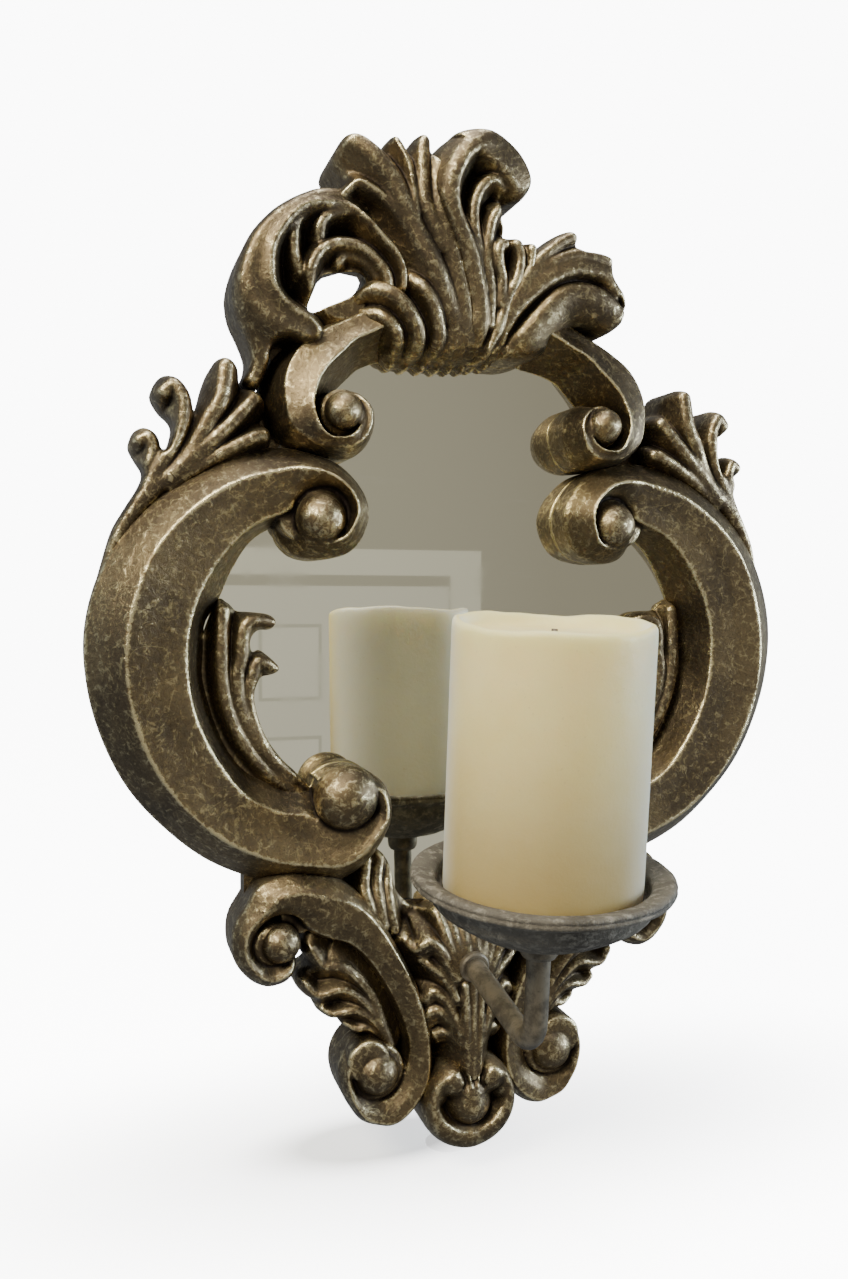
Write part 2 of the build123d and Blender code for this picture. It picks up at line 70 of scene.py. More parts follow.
def make_camera():
    """Stands left of the sconce, level with its middle, and looks a little right and down."""
    yaw, pitch, roll = (math.radians(a) for a in CAMERA_TURN)
    look = Vector((math.sin(yaw) * math.cos(pitch), math.cos(yaw) * math.cos(pitch), math.sin(pitch)))
    level = Vector((math.cos(yaw), -math.sin(yaw), 0))
    above = level.cross(look)
    right = level * math.cos(roll) + above * math.sin(roll)
    up = above * math.cos(roll) - level * math.sin(roll)
    data = bpy.data.cameras.new("camera")
    data.lens = FOCAL_LENGTH
    camera = bpy.data.objects.new("camera", data)
    bpy.context.scene.collection.objects.link(camera)
    camera.matrix_world = Matrix((right, up, -look)).transposed().to_4x4()
    camera.location = CAMERA_PLACE
    bpy.context.scene.camera = camera


# ---- curves --------------------------------------------------------------------------------------
def smooth_path(points, per_span, closed=False):
    """Points along a smooth curve through the given ones."""
    p = np.asarray(points, float)
    if closed:
        p = np.vstack([p[-1], p, p[0], p[1]])
    else:
        p = np.vstack([2 * p[0] - p[1], p, 2 * p[-1] - p[-2]])
    t = np.linspace(0, 1, per_span, endpoint=False)[:, None]
    spans = []
    for a, b, c, d in zip(p[:-3], p[1:-2], p[2:-1], p[3:]):
        spans.append(0.5 * (2 * b + (c - a) * t + (2 * a - 5 * b + 4 * c - d) * t ** 2
                            + (3 * b - a - 3 * c + d) * t ** 3))
    if not closed:
        spans.append(p[-2][None])
    return np.vstack(spans)


def polar(centre, angle, radius):
    """A point round a centre on the left half: 0 degrees is out to the left, 90 is up."""
    a = math.radians(angle)
    return (centre[0] - radius * math.cos(a), centre[1] + radius * math.sin(a))


# ---- meshes --------------------------------------------------------------------------------------
def to_world(verts):
    """(x, z, depth) in millimetres to metres in the frame's axes."""
    v = np.asarray(verts, float)
    return np.stack([v[:, 0], -v[:, 2], v[:, 1]], 1) * MM


def join(shapes):
    """Several (verts, faces) as one."""
    verts, faces, start = [], [], 0
    for v, f in shapes:
        verts.append(np.asarray(v, float))
        faces += [tuple(i + start for i in face) for face in f]
        start += len(v)
    return np.vstack(verts), faces


def flip(shape):
    """The same shape on the right half."""
    v, f = shape
    v = np.array(v, float)
    v[:, 0] *= -1
    return v, [tuple(reversed(face)) for face in f]


def mirrored(half):
    """A closed outline from its left half, which starts and ends on the middle line."""
    return [*half, *[(-x, z) for x, z in reversed(half[1:-1])]]


def turns(count):
    """Angles evenly round a circle."""
    return [2 * math.pi * i / count for i in range(count)]


def skin(count, sides):
    """The faces of a closed skin through count rings of sides points each: its walls, then its two caps."""
    faces = []
    for k in range(0, (count - 1) * sides, sides):
        for i in range(sides):
            j = (i + 1) % sides
            faces.append((k + i, k + j, k + sides + j, k + sides + i))
    return faces + [tuple(reversed(range(sides))), tuple(range((count - 1) * sides, count * sides))]


def loft(stations):
    """A closed skin through a row of outlines, each with the same number of (x, z, depth) points."""
    rows = np.asarray(stations, float)[:, ::-1]
    count, rails = rows.shape[:2]
    rows = smooth_path(rows.reshape(count, -1), per_span=6).reshape(-1, rails, 3)
    return rows.reshape(-1, 3), skin(len(rows), rails)


def ball(x, z, radius, top, squash=1.0):
    """A ball whose foremost point has the depth top; squash flattens it towards the wall."""
    rings = 24
    centre = top - radius * squash
    verts = [(x, z, centre + radius * squash)]
    for i in range(1, rings):
        a = math.pi * i / rings
        for j in range(2 * rings):
            b = math.pi * j / rings
            verts.append((x + radius * math.sin(a) * math.cos(b), z + radius * math.sin(a) * math.sin(b),
                          centre + radius * squash * math.cos(a)))
    verts.append((x, z, centre - radius * squash))
    n, last = 2 * rings, len(verts) - 1
    faces = []
    for j in range(n):
        k = (j + 1) % n
        faces.append((0, 1 + j, 1 + k))
        faces.append((last, last - 1 - j, last - 1 - k))
        for i in range(rings - 2):
            faces.append((1 + i * n + j, 1 + (i + 1) * n + j, 1 + (i + 1) * n + k, 1 + i * n + k))
    return np.array(verts), faces


def neighbour_mean(co, edges, degree):
    """The mean of each vertex's neighbours."""
    total = np.empty_like(co)
    both = np.concatenate([edges[:, 0], edges[:, 1]])
    other = np.concatenate([edges[:, 1], edges[:, 0]])
    for axis in range(3):
        total[:, axis] = np.bincount(both, weights=co[other, axis], minlength=len(co))
    return total / degree[:, None]


def read_mesh(mesh):
    """A mesh's vertex places, its edges and the number of edges that meet at each vertex."""
    count = len(mesh.vertices)
    co = np.empty(count * 3)
    mesh.vertices.foreach_get("co", co)
    edges = np.empty(len(mesh.edges) * 2, dtype=np.int64)
    mesh.edges.foreach_get("vertices", edges)
    return co.reshape(-1, 3), edges.reshape(-1, 2), np.maximum(np.bincount(edges, minlength=count), 1)


# A scale's name, its rounds of averaging and the height in metres that counts as fully proud. The bronze
# reads each scale for wear and patina, and also for where it paints shade in hollows and highlights on
# ridges.
WEAR_AND_SHADE_SCALES = (("edge_wear_and_shading", 6, 0.0003), ("broad_wear_and_shade", 70, 0.0016))


def mark_wear_and_shading(mesh):
    """Stores how far each vertex stands proud of its surroundings, at each scale."""
    co, edges, degree = read_mesh(mesh)
    normal = np.empty(co.size)
    mesh.vertices.foreach_get("normal", normal)
    normal = normal.reshape(-1, 3)
    mean, done = co.copy(), 0
    for name, rounds, reach in WEAR_AND_SHADE_SCALES:
        while done < rounds:
            mean = 0.5 * (mean + neighbour_mean(mean, edges, degree))
            done += 1
        proud = np.einsum("ij,ij->i", co - mean, normal) / reach
        layer = mesh.attributes.new(name, "FLOAT", "POINT")
        layer.data.foreach_set("value", np.clip(0.5 + 0.5 * proud, 0, 1).astype(np.float32))


def relax(mesh, rounds):
    """Softens a mesh a little."""
    co, edges, degree = read_mesh(mesh)
    for _ in range(rounds):
        co += 0.5 * (neighbour_mean(co, edges, degree) - co)
    mesh.vertices.foreach_set("co", co.ravel())
    mesh.update()


def add_object(name, verts, faces, merge):
    """An object from places in metres. Points closer than merge are joined and the faces turned outwards."""
    mesh = bpy.data.meshes.new(name)
    mesh.from_pydata(verts, [], faces)
    build = bmesh.new()
    build.from_mesh(mesh)
    bmesh.ops.remove_doubles(build, verts=build.verts, dist=merge)
    bmesh.ops.recalc_face_normals(build, faces=build.faces)
    build.to_mesh(mesh)
    build.free()
    made = bpy.data.objects.new(name, mesh)
    bpy.context.scene.collection.objects.link(made)
    return made


def declare(piece, material, body, nodes):
    """Smooths and paints a piece, gives it its body and hides the CAD nodes that it stands for."""
    piece.data.polygons.foreach_set("use_smooth", [True] * len(piece.data.polygons))
    piece.data.materials.clear()
    piece.data.materials.append(material)
    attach(piece, body)
    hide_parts(*nodes)


def make_casting(name, shape, material, nodes, voxel):
    """A piece of the casting from (verts, faces): merged into one skin, softened and marked with its wear and
    with where painted shade and highlights go.
    """
    verts, faces = shape
    piece = add_object(name, to_world(verts).tolist(), faces, 10 * SAME_PLACE)
    merge = piece.modifiers.new("merge", "REMESH")
    merge.mode = "VOXEL"
    merge.voxel_size = voxel * MM
    merged = bpy.data.meshes.new_from_object(piece.evaluated_get(bpy.context.evaluated_depsgraph_get()))
    piece.modifiers.clear()
    piece.data = merged
    merged.name = name
    relax(merged, SOFTENING)
    mark_wear_and_shading(merged)
    declare(piece, material, "root", nodes)


GLASS_HALF = ((0, 108), (47, 106), (73, 91), (87, 50.5), (118, 14.5), (129, -27), (118, -66.5), (91, -99),
              (62.5, -119), (38.5, -140), (0, -144))


def back_depth(places):
    """How far back the relief may reach at each place: to the glass where there is glass, else near
    the wall."""
    glass = np.array(mirrored(GLASS_HALF), float)
    return np.where(in_polygon(np.asarray(places, float), glass), FACE, BACK)


# ---- relief: a leaf as a field of ridges ---------------------------------------------------------
TINY = 1e-12


def closest_on(points, path, closed=False):
    """For each point: the nearest place on a path, its distance, the path's own depth there (or 0)
    and the side it lies on (+1 is left of the path's direction)."""
    ends = np.roll(path, -1, axis=0) if closed else path[1:]
    best = np.full(len(points), np.inf)
    near = np.zeros((len(points), 2))
    depth = np.zeros(len(points))
    side = np.ones(len(points))
    for s, e in zip(path, ends):
        d = e[:2] - s[:2]
        length = d @ d
        if length < TINY:
            continue
        t = np.clip(((points - s[:2]) @ d) / length, 0, 1)
        q = s[:2] + t[:, None] * d
        r = points - q
        dist = np.einsum("ij,ij->i", r, r)
        hit = dist < best
        best[hit] = dist[hit]
        near[hit] = q[hit]
        if path.shape[1] > 2:
            depth[hit] = (s[2] + t * (e[2] - s[2]))[hit]
        side[hit] = np.sign(d[0] * r[hit, 1] - d[1] * r[hit, 0] + TINY)
    return near, np.sqrt(best), depth, side


def in_polygon(points, border):
    """Whether each point lies inside a closed border."""
    inside = np.zeros(len(points), bool)
    x, z = points[:, 0], points[:, 1]
    for (x0, z0), (x1, z1) in zip(border, np.roll(border, -1, axis=0)):
        if z0 == z1:
            continue
        cross = ((z0 > z) != (z1 > z)) & (x < (x1 - x0) * (z - z0) / (z1 - z0) + x0)
        inside ^= cross
    return inside


MIDDLE = 30.0         # the strokes' depths are blended as powers of their distance from this depth
REACH = 40            # and that distance is cut off here
DEEPEST = 26.0        # how far a sharp crest's sides fall at most
STEP = 0.55           # spacing of a relief's grid
SNAP = 0.35           # grid points this near to a crest, in steps, are moved onto it
UNDERCUT_RISE = 1.5   # slope of an undercut's wall


def bar(radius, steep=2.4):
    """Falls away as a round bar does, and then steeply."""
    def fall(dist):
        on_bar = np.minimum(dist, 0.9 * radius)
        return radius - np.sqrt(radius ** 2 - on_bar ** 2) + steep * (dist - on_bar)
    return fall


def slope(rate):
    """Falls away from a sharp crest, at first by a rate in mm per mm."""
    return lambda dist: DEEPEST * (1 - np.exp(-rate * dist / DEEPEST))


def swell(radius):
    """Falls away from a rounded crest."""
    return lambda dist: dist ** 2 / (2 * radius)


def relief(outline, strokes, floor, hole=None, edge=3.0, edge_drop=4.5, blend=1.2, undercut=None):
    """A closed relief over an outline. A stroke is (path of (x, z, depth), its fall on the left, its fall
    on the right); the highest stroke wins, blended over about 1 / blend mm, and floor is the depth
    between them. The rim rounds off by edge_drop over edge mm. undercut is (x, z, radius, depth) of a
    place where the relief's back is hollowed out to a depth."""
    rims = [smooth_path(rim, per_span=6, closed=True) for rim in (outline, hole) if rim]
    border = rims[0]
    low, high = border.min(0) - 2 * STEP, border.max(0) + 2 * STEP
    xs, zs = np.arange(low[0], high[0], STEP), np.arange(low[1], high[1], STEP)
    grid = np.stack(np.meshgrid(xs, zs, indexing="ij"), -1)
    shape = grid.shape[:2]
    points = grid.reshape(-1, 2)
    inside = in_polygon(points, border)
    for rim in rims[1:]:
        inside &= ~in_polygon(points, rim)
    nears = [closest_on(points, rim, closed=True) for rim in rims]
    rim_dist = np.min([n[1] for n in nears], axis=0)
    rim_near = nears[0][0].copy()
    for n in nears[1:]:
        closer = n[1] < nears[0][1]
        rim_near[closer] = n[0][closer]
    field = inside.reshape(shape)
    grown = field.copy()
    for i in (-1, 0, 1):
        for j in (-1, 0, 1):
            grown |= np.roll(np.roll(field, i, 0), j, 1)
    rim_verts = (grown & ~field).reshape(-1)
    points[rim_verts] = rim_near[rim_verts]
    rim_dist[rim_verts] = 0
    used = inside | rim_verts
    place = points[used]
    total = np.exp(blend * (floor - MIDDLE)) * np.ones(len(place))
    for path, left, right in strokes:
        line = smooth_path(path, per_span=5)
        near, dist, depth, side = closest_on(place, line)
        snap = (dist < SNAP * STEP) & (rim_dist[used] > STEP)
        place[snap] = near[snap]
        dist[snap] = 0
        fall = np.where(side > 0, left(dist), right(dist))
        total += np.exp(blend * np.clip(depth - fall - MIDDLE, -REACH, REACH))
    height = MIDDLE + np.log(total) / blend
    t = np.clip(rim_dist[used] / edge, 0, 1)
    height = height - edge_drop * (1 - np.sqrt(1 - (1 - t) ** 2))
    bottom = back_depth(place)
    if undercut:
        away = np.hypot(place[:, 0] - undercut[0], place[:, 1] - undercut[1]) - undercut[2]
        bottom = np.maximum(bottom, undercut[3] - UNDERCUT_RISE * np.maximum(away, 0))
    height = np.maximum(height, bottom + THINNEST)
    index = np.full(len(points), -1)
    index[used] = np.arange(len(place))
    index = index.reshape(shape)
    count = len(place)
    top = np.column_stack([place, height])
    under = np.column_stack([place, bottom])
    faces, edges = [], {}
    quads = np.stack([index[:-1, :-1], index[1:, :-1], index[1:, 1:], index[:-1, 1:]], -1).reshape(-1, 4)
    core = field[:-1, :-1] | field[1:, :-1] | field[1:, 1:] | field[:-1, 1:]
    quads = quads[core.reshape(-1) & (quads.min(1) >= 0)]
    for q in quads.tolist():
        faces.append(tuple(q))
        faces.append(tuple(i + count for i in reversed(q)))
        for a, b in zip(q, q[1:] + q[:1]):
            if (b, a) in edges:
                del edges[(b, a)]
            else:
                edges[(a, b)] = True
    faces += [(b, a, a + count, b + count) for a, b in edges]
    return np.vstack([top, under]), faces


# ---- scrolls: a bevelled band lofted along its stations ------------------------------------------
UP_FROM_FOOT = 0.45     # where the band's inner hollow lies between its foot and its crease


def band(stations, hollow=0.6, bulge=0.8):
    """A scroll. A station is (outer edge, its depth, ridge, crease, foot); the ridge and the crease are
    (x, z, depth). The face outside the ridge bulges and the two inside it are hollow."""
    rows = []
    for edge, edge_depth, ridge, crease_line, foot in stations:
        back = float(back_depth([edge])[0])
        e, r = np.array([*edge, edge_depth], float), np.array(ridge, float)
        c, f = np.array(crease_line, float), np.array([*foot, FACE], float)
        inward = (f - e)[:2]
        inward /= max(np.hypot(*inward), 1e-6)
        wall = e[:2] + SKIRT * inward
        near_foot = (1 - UP_FROM_FOOT) * f + UP_FROM_FOOT * c
        rows.append([f, near_foot + (*(-0.5 * hollow * inward), 0), c, 0.5 * (c + r) - (0, 0, hollow),
                     r, 0.5 * (r + e) + (0, 0, bulge),
                     e + (*(0.4 * inward), 0.8), (*e[:2], e[2] - 1.5),
                     (*e[:2], back), (*wall, back), (*wall, FACE)])
    return loft(rows)


def ring_stations(centre, stations, depths_in, depths_out):
    """Stations of a band that goes round a centre: (angle, edge, ridge, crease, foot) as radii. The three
    depths ease from the first set to the second."""
    rows = []
    for i, (angle, edge, ridge, fold, foot) in enumerate(stations):
        t = i / (len(stations) - 1)
        de, dr, dc = ((1 - t) * a + t * b for a, b in zip(depths_in, depths_out))
        rows.append((polar(centre, angle, edge), de, (*polar(centre, angle, ridge), dr),
                     (*polar(centre, angle, fold), dc), polar(centre, angle, foot)))
    return rows


def plug(x, z, radius, top, bottom=FACE):
    """A drum with a domed top that fills the eye of a scroll."""
    sides = 48
    profile = ((radius, bottom), (radius, top - 1.5), (0.9 * radius, top - 0.5), (0.5 * radius, top))
    verts = [(x + r * math.cos(a), z + r * math.sin(a), d) for r, d in profile for a in turns(sides)]
    return np.array(verts), skin(len(profile), sides)


# The C-scroll's round stretch: (angle, then the radii of its edge, ridge, crease and foot).
C_ARC = ((96, 91.5, 82, 66, 63), (84, 93.5, 83, 66, 62), (70, 95, 82, 63, 57), (55, 93.5, 80, 58, 49),
         (40, 92.5, 78, 54, 43.5), (25, 91, 75, 51, 43), (10, 89.5, 73, 49, 40), (-5, 87.5, 72, 48, 40),
         (-20, 86.5, 72, 48.5, 40), (-35, 87, 73, 50, 42), (-50, 88, 75, 53, 46), (-65, 91, 78, 58, 50),
         (-80, 94, 81, 61.5, 51), (-92, 95.5, 83.5, 63, 52))
c_stations = [
    ((-86, 29), 14, (-80, 29, 26), (-76, 30, 27), (-72, 30)),
    ((-84, 21), 16, (-78, 24, 29), (-75, 26.5, 28), (-71, 28)),
    ((-78, 15), 19, (-74, 20.5, 32), (-72, 25, 30), (-70, 27)),
    ((-70, 12.8), 21, (-69, 19.5, 34), (-68.5, 24, 31), (-68, 26)),
    ((-63, 13.3), 23, (-64, 20, 35.5), (-64.5, 24, 31), (-66, 27)),
    ((-55, 15.8), 25, (-59, 22.5, 38), (-60.5, 25, 31), (-65, 28)),
    ((-49.5, 21.5), 26, (-56, 27.5, 40), (-58, 29, 30), (-64, 30)),
    ((-46.3, 31), 27, (-54.5, 33, 41), (-57.5, 34, 29), (-63, 33)),
    ((-47.5, 39.5), 27, (-56, 39, 41), (-60, 38.5, 28), (-64, 35)),
    ((-53, 48), 26, (-60.5, 44.5, 40.5), (-65, 41.5, 27), (-68, 36)),
    ((-61, 54.5), 25, (-67, 48.5, 39), (-72.3, 40.5, 28), (-72, 34)),
    ((-72, 58), 24, (-75.5, 50, 38), (-79, 36, 29), (-77, 30)),
    *ring_stations((-75, -33), C_ARC[1:], (21, 36, 30.5), (14, 33, 27.5)),
    ((-59, -127), 20, (-60, -117, 34.5), (-62, -102, 31.5), (-62, -90)),
    ((-48.5, -120.5), 24, (-51, -112.5, 36), (-53, -102, 33.5), (-57, -94)),
    ((-40.5, -110.5), 26, (-44.5, -105, 37), (-47.5, -99, 34), (-53, -93)),
    ((-36.2, -99), 28, (-40.5, -97, 38), (-43.5, -94.5, 34), (-51, -90)),
    ((-37.2, -88), 28, (-41, -88.5, 36.5), (-44, -88, 35), (-51, -88)),
    ((-42.3, -81), 27, (-45.3, -83.3, 35), (-47.8, -85, 34), (-53, -87)),
    ((-51, -76.6), 23, (-52.3, -79.3, 32), (-53, -81.5, 32), (-55, -87)),
    ((-60.5, -76.8), 18, (-60, -79.5, 29), (-59.5, -81.5, 30), (-58, -87)),
    ((-68.5, -81.3), 14, (-66, -83, 26), (-63.5, -85, 26), (-60, -87))]
main_scroll = join([band(c_stations), ball(-68, 30, 10.5, 41), plug(-67, 30, 12, 33), plug(-76, 30, 9.5, 28),
                    ball(-57, -88.5, 14, 42, 0.9), plug(-57, -88.5, 11.5, 32)])

u_stations = [
    ((-30, 127), 13, (-30, 124, 29), (-29, 115, 34), (-28, 102)),
    ((-40, 124.5), 13, (-40, 121.5, 30), (-37, 113.3, 34), (-34, 101)),
    ((-48, 121.5), 13, (-47, 118.5, 30), (-46, 108.7, 34), (-41, 99.3)),
    ((-58, 117), 13, (-56, 114, 30), (-54, 104.8, 34), (-47.5, 96.5)),
    ((-70, 111.5), 13, (-66.5, 108.5, 30), (-60.5, 98.5, 35), (-52.5, 92)),
    ((-81, 103), 13, (-76, 101.5, 30.5), (-65.5, 93.5, 36), (-56, 88.5)),
    ((-88, 94), 13, (-81.5, 93, 31), (-69.5, 88, 37), (-60, 84.5)),
    ((-91, 84), 13, (-83.5, 84.5, 32), (-72, 81, 38.5), (-66, 79.5)),
    ((-90, 74.5), 14, (-83, 75.5, 33), (-72.7, 76, 39.5), (-67, 75.5)),
    ((-86.5, 66), 16, (-81, 68.5, 33.5), (-71.5, 70.5, 40), (-66.5, 72)),
    ((-79, 60), 18, (-75.5, 63, 34), (-69, 65.5, 41), (-64.5, 69.5)),
    ((-71, 57.5), 20, (-69.5, 60, 35), (-65.5, 63, 41.5), (-62.5, 68)),
    ((-62, 56), 23, (-62.5, 59, 37), (-61.5, 62.8, 42), (-60, 67.5)),
    ((-54, 56.2), 25, (-56, 60, 39), (-57.5, 64, 41.5), (-57.5, 68)),
    ((-48, 61), 27, (-51, 63.8, 40), (-54.5, 67, 40.5), (-56, 69)),
    ((-44.8, 68), 28, (-48.8, 69.5, 40.5), (-52.5, 70.8, 40), (-55, 72)),
    ((-44.5, 75), 28, (-48.8, 75, 40), (-52, 74.8, 39), (-55, 74.8)),
    ((-47.5, 80.5), 27, (-50.8, 78.3, 39), (-53.5, 77.2, 37.5), (-56, 76.5)),
    ((-52.5, 84.5), 25, (-54, 81, 37), (-56, 79, 36), (-58, 77.5)),
    ((-58, 85), 22, (-58.5, 82, 34), (-59.5, 80, 34), (-60.5, 78)),
    ((-63, 84), 17, (-63, 82, 28), (-63, 80.5, 28), (-63, 79))]
upper_scroll = join([band(u_stations), ball(-60, 74, 7.8, 45), plug(-60, 74, 9.5, 36)])


def bar_station(edge, ridge, foot):
    """A station of a rounder bar: its crease lies near the foot and a little below the ridge."""
    across, crease_drop, edge_drop = 0.78, 4, 7
    r, f = np.array(ridge, float), np.array(foot, float)
    crease = r[:2] + across * (f - r[:2])
    return edge, ridge[2] - edge_drop, ridge, (*crease, ridge[2] - crease_drop), foot


s_rows = (
    ((-77, -157), (-79, -156.5, 27), (-81, -154.5)), ((-77.5, -163), (-80, -161, 29), (-82.5, -157.5)),
    ((-81, -167.5), (-83, -163.5, 30.5), (-84.5, -159)),
    ((-87, -169.5), (-87.5, -165, 30.5), (-87.5, -159.5)), ((-92, -169), (-91.5, -164, 30.5), (-90.5, -159)),
    ((-98, -165.5), (-95.5, -161, 30), (-93, -156.5)), ((-103.5, -158), (-99, -155.5, 30), (-95, -153)),
    ((-105, -149), (-100, -149, 30), (-95.5, -149)), ((-103.5, -141), (-98, -142.5, 30), (-93.5, -144.5)),
    ((-99, -133.5), (-93, -136.5, 31), (-89.5, -140.5)), ((-93.5, -125), (-86, -130, 32), (-84, -139.5)),
    ((-82, -121), (-77, -128, 32.5), (-78, -142)), ((-72, -122), (-66.5, -130.5, 33), (-73, -149)),
    ((-60, -125), (-56.5, -133.5, 33), (-66, -153.5)), ((-49.5, -132.5), (-48, -139.5, 32.5), (-57.5, -156)),
    ((-40.5, -143), (-41.5, -147.5, 32), (-50, -161.5)), ((-34, -154.5), (-35.8, -156.5, 32), (-43.5, -170)),
    ((-28, -165.5), (-30, -167, 32), (-38, -179)), ((-23, -176), (-25.5, -177, 31.5), (-33.5, -188)),
    ((-19, -188), (-21.7, -188, 31), (-30.5, -196.5)), ((-16.5, -198), (-19.4, -198, 30.5), (-29, -203)),
    ((-15.5, -207.5), (-18.5, -207, 30), (-29.5, -208)), ((-15.8, -216.5), (-19, -215.5, 30), (-31, -213)),
    ((-18, -223), (-21, -222, 30), (-32.5, -217.5)), ((-23, -231), (-25.5, -228.5, 30), (-35.5, -221.5)),
    ((-29, -236.5), (-30.5, -233, 30), (-38.5, -223)), ((-35, -238.5), (-36, -235, 30), (-41, -223.5)),
    ((-41, -237.5), (-41, -234, 30), (-44, -223)), ((-48.5, -234.5), (-47, -231.5, 30), (-47.5, -221)),
    ((-53.5, -228), (-51, -226.5, 30), (-50.5, -218)), ((-57, -221), (-54, -220.5, 30), (-51.5, -214.5)),
    ((-58.5, -213), (-55.5, -213, 29.5), (-51.8, -211.5)), ((-57, -206), (-54.5, -207.5, 29), (-50.8, -208)),
    ((-53, -201.5), (-51.5, -204, 28), (-48.5, -204.8)), ((-47, -199), (-46.5, -202, 26), (-45, -203)))
lower_scroll = join([band([bar_station(*row) for row in s_rows], hollow=-0.8, bulge=1.0),
                     ball(-84.5, -150.5, 8.5, 33.5), plug(-87, -151, 9, 27, BACK),
                     plug(-76, -141, 8, 22, BACK),
                     ball(-42, -212.5, 10.2, 34), plug(-42.5, -212, 13, 27, BACK),
                     plug(-46, -206.5, 9.5, 29.5)])


# ---- leaves --------------------------------------------------------------------------------------
def stroke(points, left=None, right=None):
    """A ridge of a relief with its falls, which are those of a round bar unless given."""
    left = left or bar(3.1)
    return points, left, right or left


def ring(x, z, radius, depth, start, end, count):
    """Points of an arc at one depth, by angle from +x."""
    angles = [math.radians(start + (end - start) * i / count) for i in range(count + 1)]
    return [(x + radius * math.cos(a), z + radius * math.sin(a), depth) for a in angles]


def both(strokes):
    """The strokes and their mirror images."""
    return strokes + [([(-x, z, d) for x, z, d in path], right, left) for path, left, right in strokes]


def lobe(points, ridges):
    """Strokes of a leaf's lobe: a ridge with thinner and lower ones under it."""
    under = [stroke([(x + 1.1 * k, z - 2.5 * k, d - 1.3 * k) for x, z, d in points], bar(1.6, 1.8))
             for k in range(1, ridges)]
    return [stroke(points, bar(2.3), bar(2.0, 1.6)), *under]


side_sprig = relief(
    [(-160.5, -12), (-158.8, 0), (-156, 11), (-152, 24), (-147, 33), (-141.5, 42), (-139.5, 48),
     (-142.5, 53.5), (-145, 59), (-143, 64.5), (-138.5, 66.5), (-133.5, 63), (-132, 57), (-129.5, 59),
     (-127.5, 66), (-128.5, 70), (-133, 74.5), (-136, 81), (-132, 87.5), (-126, 87), (-121, 81), (-119, 73),
     (-117, 77), (-114.5, 86), (-111, 93.5), (-106, 95.5), (-101, 92), (-99.5, 85.5), (-94.5, 83),
     (-90, 79), (-89, 74), (-91, 70), (-87.5, 67), (-88, 60), (-94, 54), (-104, 51), (-116, 46), (-128, 37),
     (-139, 26), (-148, 14), (-154, 3), (-158.5, -9)],
    [stroke([(-107, 91, 30), (-109, 78, 31), (-114, 69, 30), (-119.5, 58, 28), (-126, 49.5, 26),
             (-138, 38, 24), (-149.5, 22, 21), (-158, 2, 18)], bar(3.7)),
     stroke([(-131, 80, 26), (-127.5, 82.5, 27), (-124, 77, 28), (-124, 69, 28), (-128, 58.5, 27),
             (-134, 48.5, 25), (-142, 36, 23), (-151, 20, 19)], bar(3.1)),
     stroke([(-140.5, 60.5, 23), (-137.5, 61.5, 24), (-135.8, 57, 24), (-137, 51, 24), (-141, 43, 22),
             (-148, 31, 20)], bar(2.8)),
     stroke([(-95.5, 78.5, 29), (-99, 74.5, 30), (-110, 63, 30), (-119, 54.5, 28),
             (-129, 45.5, 25)], bar(3.1)),
     stroke([(-92, 63.5, 29), (-96, 62.5, 30), (-106, 57.5, 29), (-117, 51, 27), (-129, 42, 24)], bar(2.9))],
    floor=13, edge=2.6, edge_drop=4.5)

inner_sprig = relief(
    [(-110, -6), (-119, -34.5), (-114, -57), (-104, -76), (-90, -90), (-74, -97), (-69, -88), (-75, -80),
     (-82, -73), (-89, -63), (-93, -52), (-94, -44), (-91, -38), (-86, -36.5), (-83, -34), (-85.5, -30.5),
     (-91, -26), (-94, -27), (-95.5, -22), (-92, -17.5), (-87, -17), (-84.5, -13.5), (-88, -10.5),
     (-96, -9.5), (-101, -9), (-105, -5.5)],
    [stroke([(-107.5, -9, 20), (-108, -23, 21), (-108, -34.5, 21), (-106.5, -46.5, 20.5), (-103, -57, 20),
             (-97, -68, 19), (-88, -79, 17.5), (-75, -88.5, 16)], bar(3.1)),
     stroke([(-87.5, -13.8, 19.5), (-92, -12.8, 21), (-97.5, -14.5, 22), (-99.5, -21, 22), (-100, -29, 21.5),
             (-101.5, -37.5, 21), (-100, -50, 20), (-95, -62, 19), (-87, -72.5, 18), (-77.5, -83, 16)],
            bar(3.1)),
     stroke([(-85.5, -33.5, 18.5), (-89, -31.5, 20), (-93, -31, 20.5), (-95, -37, 20.5), (-96.2, -44, 20),
             (-95, -53, 19), (-91, -62.5, 18.5), (-84.5, -72, 17), (-77, -80, 16),
             (-70, -85.5, 15)], bar(2.8))],
    floor=12, edge=1.8, edge_drop=3)

lower_leaf = relief(
    [(-66, -144), (-73, -151), (-74, -158), (-70.5, -163.5), (-75.5, -167.5), (-76.5, -172.5), (-72, -177.5),
     (-67, -179.5), (-67.5, -184), (-62.5, -188), (-58.5, -189), (-56, -192.5), (-51, -196.5), (-45, -198),
     (-40, -204), (-33, -206), (-28, -198), (-32, -184), (-38, -172), (-46, -160), (-54, -150), (-60, -144)],
    [stroke([(-71, -156, 25), (-66, -163, 27), (-58, -164.5, 28), (-51, -170.5, 28), (-46, -177.5, 27),
             (-42, -185, 26), (-36, -201, 25)], bar(4.2, 0.9), slope(1.5)),
     stroke([(-73.5, -171, 24), (-68, -176, 26), (-57, -174.5, 27), (-49, -180, 27), (-41, -190.5, 26),
             (-36, -201, 25)], bar(2.7), slope(1.5)),
     stroke([(-65, -184, 22), (-60.5, -186, 24), (-51, -185, 26), (-43, -191, 26), (-36, -202, 25)],
            bar(2.7), slope(1.5)),
     stroke([(-55, -192, 21), (-50, -194.3, 23), (-45, -194, 24), (-39, -199, 24), (-35, -203, 24)],
            bar(2.7), slope(1.5))],
    floor=13, edge=2.2, edge_drop=4)

